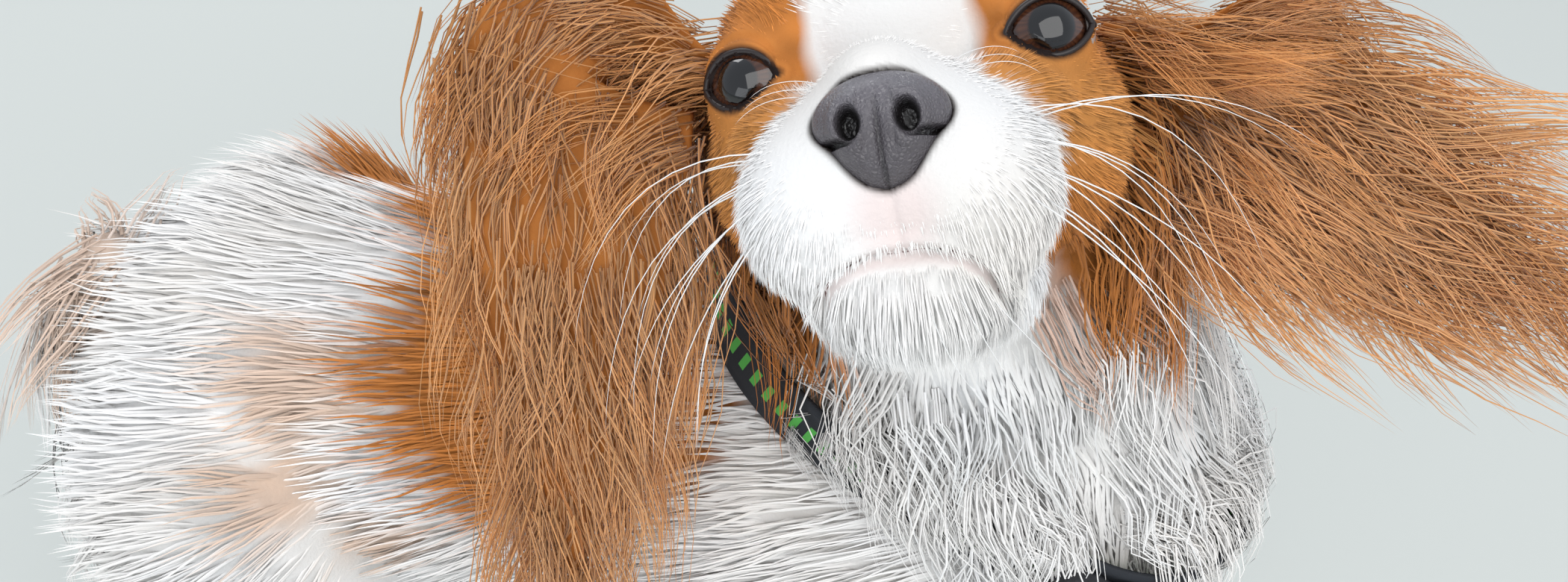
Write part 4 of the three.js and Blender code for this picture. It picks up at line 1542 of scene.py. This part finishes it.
cloth_mix = add_node(webbing, "ShaderNodeMix",
                     {"Factor": both.outputs[0], 6: (*linear("#2E3136"), 1),
                      7: (*linear("#5FBF58"), 1)}, data_type="RGBA")
link(webbing, cloth_mix.outputs[2], webbing_shader.inputs["Base Color"])
weave_bump = add_node(webbing, "ShaderNodeBump",
                      {"Height": weave.outputs["Fac"], "Strength": 0.4, "Distance": 0.0004})
link(webbing, weave_bump.outputs["Normal"], webbing_shader.inputs["Normal"])


def collar_points(turn, rise, off):
    """Points round the collar: angle, height across the webbing, distance off the core."""
    turn, rise, off = np.broadcast_arrays(turn, rise, off)
    far = collar_reach(turn) + off
    return COLLAR_MIDDLE + rise[:, None] * COLLAR_UP + far[:, None] * round_collar(turn)


def add_band():
    count = 160
    turn = np.linspace(0, tau, count, endpoint=False)
    half = COLLAR_WIDE / 2
    profile = [(-half, 0.7), (-half, 2.0), (-half + 1.2, 2.9), (-half + 2.6, 2.55), (0, 2.6),
               (half - 2.6, 2.55), (half - 1.2, 2.9), (half, 2.0), (half, 0.7)]
    verts = np.stack([collar_points(turn, r, o) for r, o in profile], 1)
    n = len(profile)
    faces = []
    for i in range(count):
        k = (i + 1) % count
        for j in range(n):
            m = (j + 1) % n
            faces.append((i * n + j, i * n + m, k * n + m, k * n + j))
    mesh = bpy.data.meshes.new("collar_band")
    mesh.from_pydata(((verts.reshape(-1, 3) + SHIFT) * MM).tolist(), [], faces)
    uv = mesh.uv_layers.new(name="weave")
    for face in mesh.polygons:
        i, j = divmod(face.index, n)
        for loop, (a, b) in zip(face.loop_indices, ((0, 0), (0, 1), (1, 1), (1, 0))):
            across = profile[(j + b) % n][0] / COLLAR_WIDE + 0.5
            uv.data[loop].uv = ((i + a) / count * 8, across)
    band = add_object("collar_band", mesh, webbing)
    turn_outwards(band)
    bpy.ops.object.shade_smooth()
    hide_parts("collar")


add_band()

# Moulded nylon is even and satin, with a faint grain from its mould.
plastic, plastic_shader = new_material("moulded_clasp", 0.42, Specular_IOR_Level=0.5)
speckle = add_node(
    plastic, "ShaderNodeTexNoise", {"Vector": object_place(plastic), "Scale": 2500.0}
)
speckle_bump = add_node(plastic, "ShaderNodeBump",
                        {"Height": speckle.outputs["Fac"], "Strength": 0.15, "Distance": 0.0002})
link(plastic, speckle_bump.outputs["Normal"], plastic_shader.inputs["Normal"])
plastic_shader.inputs["Base Color"].default_value = (*linear("#1B1C20"), 1)
clear_choice()
bpy.ops.mesh.primitive_cube_add(size=1)
clasp = bpy.context.object
clasp.name = "clasp"
bevel = clasp.modifiers.new("soften", "BEVEL")
bevel.width = 0.16
bevel.segments = 3
fine = clasp.modifiers.new("fine", "SUBSURF")
fine.subdivision_type = "SIMPLE"
fine.levels = 2
bpy.ops.object.modifier_apply(modifier="soften")
bpy.ops.object.modifier_apply(modifier="fine")
box_points = np.array([v.co[:] for v in clasp.data.vertices])
waist = 1 - 0.22 * np.exp(-((box_points[:, 0] / 0.12) ** 2))
put_points(clasp.data, collar_points(
    CLASP_TURN + box_points[:, 0] * CLASP_LONG / NECK_RADIUS,
    box_points[:, 1] * CLASP_WIDE * waist,
    COLLAR_THICK + 0.95 + (box_points[:, 2] + 0.5) * CLASP_DEEP,
))
clasp.data.materials.append(plastic)
turn_outwards(clasp)
bpy.ops.object.shade_smooth_by_angle(angle=radians(40))
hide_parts("collar_clasp")
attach(clasp, "root")
print("clasp, mm:", CLASP_LONG, "by", CLASP_WIDE, "by", CLASP_DEEP)

# %% [markdown]
# ## Floor, light and camera
#
# The floor is a plain pale sheet. A large soft window above gives the even light of an open
# shade, a second one fills the near side, and a third lights the coat's edge from behind. The
# camera looks steeply down from the dog's right, close to its head. A sky picture could light it
# as well, but three lamps can be read and moved.

# %% Floor and lights
clear_choice()
bpy.ops.mesh.primitive_plane_add(size=6, location=(0, 0, 0))
floor = bpy.context.object
floor.name = "floor"
# Matt painted board has no shine to draw the eye.
floor_finish, floor_shader = new_material("pale_floor", 0.8)
floor_shader.inputs["Base Color"].default_value = (0.56, 0.58, 0.55, 1)
floor.data.materials.append(floor_finish)

world = bpy.data.worlds.new("studio")
bpy.context.scene.world = world
world.use_nodes = True
world.node_tree.nodes["Background"].inputs["Color"].default_value = (0.86, 0.92, 1.0, 1)
world.node_tree.nodes["Background"].inputs["Strength"].default_value = 0.82


def add_light(name, location, target, size, power, colour=(1, 1, 1)):
    data = bpy.data.lights.new(name, "AREA")
    data.shape = "RECTANGLE"
    data.size, data.size_y = size
    data.energy = power
    data.color = colour
    light = bpy.data.objects.new(name, data)
    bpy.context.scene.collection.objects.link(light)
    light.location = location
    aim = Vector(target) - Vector(location)
    light.rotation_euler = aim.to_track_quat("-Z", "Y").to_euler()


add_light("window", (-0.8, -0.5, 1.7), (0, -0.05, 0.33), (1.8, 1.5), 20, (1.0, 0.99, 0.97))
add_light("fill", (-1.5, 0.5, 0.7), (0, 0, 0.25), (1.2, 0.9), 5, (0.93, 0.96, 1.0))
add_light("edge", (1.3, 0.9, 1.3), (0, 0, 0.3), (0.8, 0.8), 9)
print("lights:", sorted(light.name for light in bpy.data.lights))

# %% Camera
AZIMUTH = radians(-80)
ELEVATION = radians(50)
LENS_PX = 2042
FRAME_PX = 2100
SENSOR = 36
# Of the point between the eyes: px right of and above the picture's middle, and mm away.
EYES_IN_VIEW = (153, 305, 298)
back = np.array([
    sin(AZIMUTH) * cos(ELEVATION), -cos(AZIMUTH) * cos(ELEVATION), sin(ELEVATION),
])
right = np.array([cos(AZIMUTH), sin(AZIMUTH), 0.0])
up = np.cross(back, right)
u, v, depth = EYES_IN_VIEW
station = EYE_MIDDLE - (right * u / LENS_PX + up * v / LENS_PX - back) * depth
camera_data = bpy.data.cameras.new("camera")
camera_data.sensor_width = SENSOR
camera_data.lens = LENS_PX / FRAME_PX * SENSOR
camera_data.clip_start = 0.01
camera = bpy.data.objects.new("camera", camera_data)
bpy.context.scene.collection.objects.link(camera)
turned = np.eye(4)
turned[:3, 0], turned[:3, 1], turned[:3, 2] = right, up, back
turned[:3, 3] = (station + SHIFT) * MM
camera.matrix_world = Matrix(turned.tolist())
bpy.context.scene.camera = camera

bpy.context.scene.view_settings.view_transform = "Standard"
print("camera, mm in the dog's frame:", station.round(0))
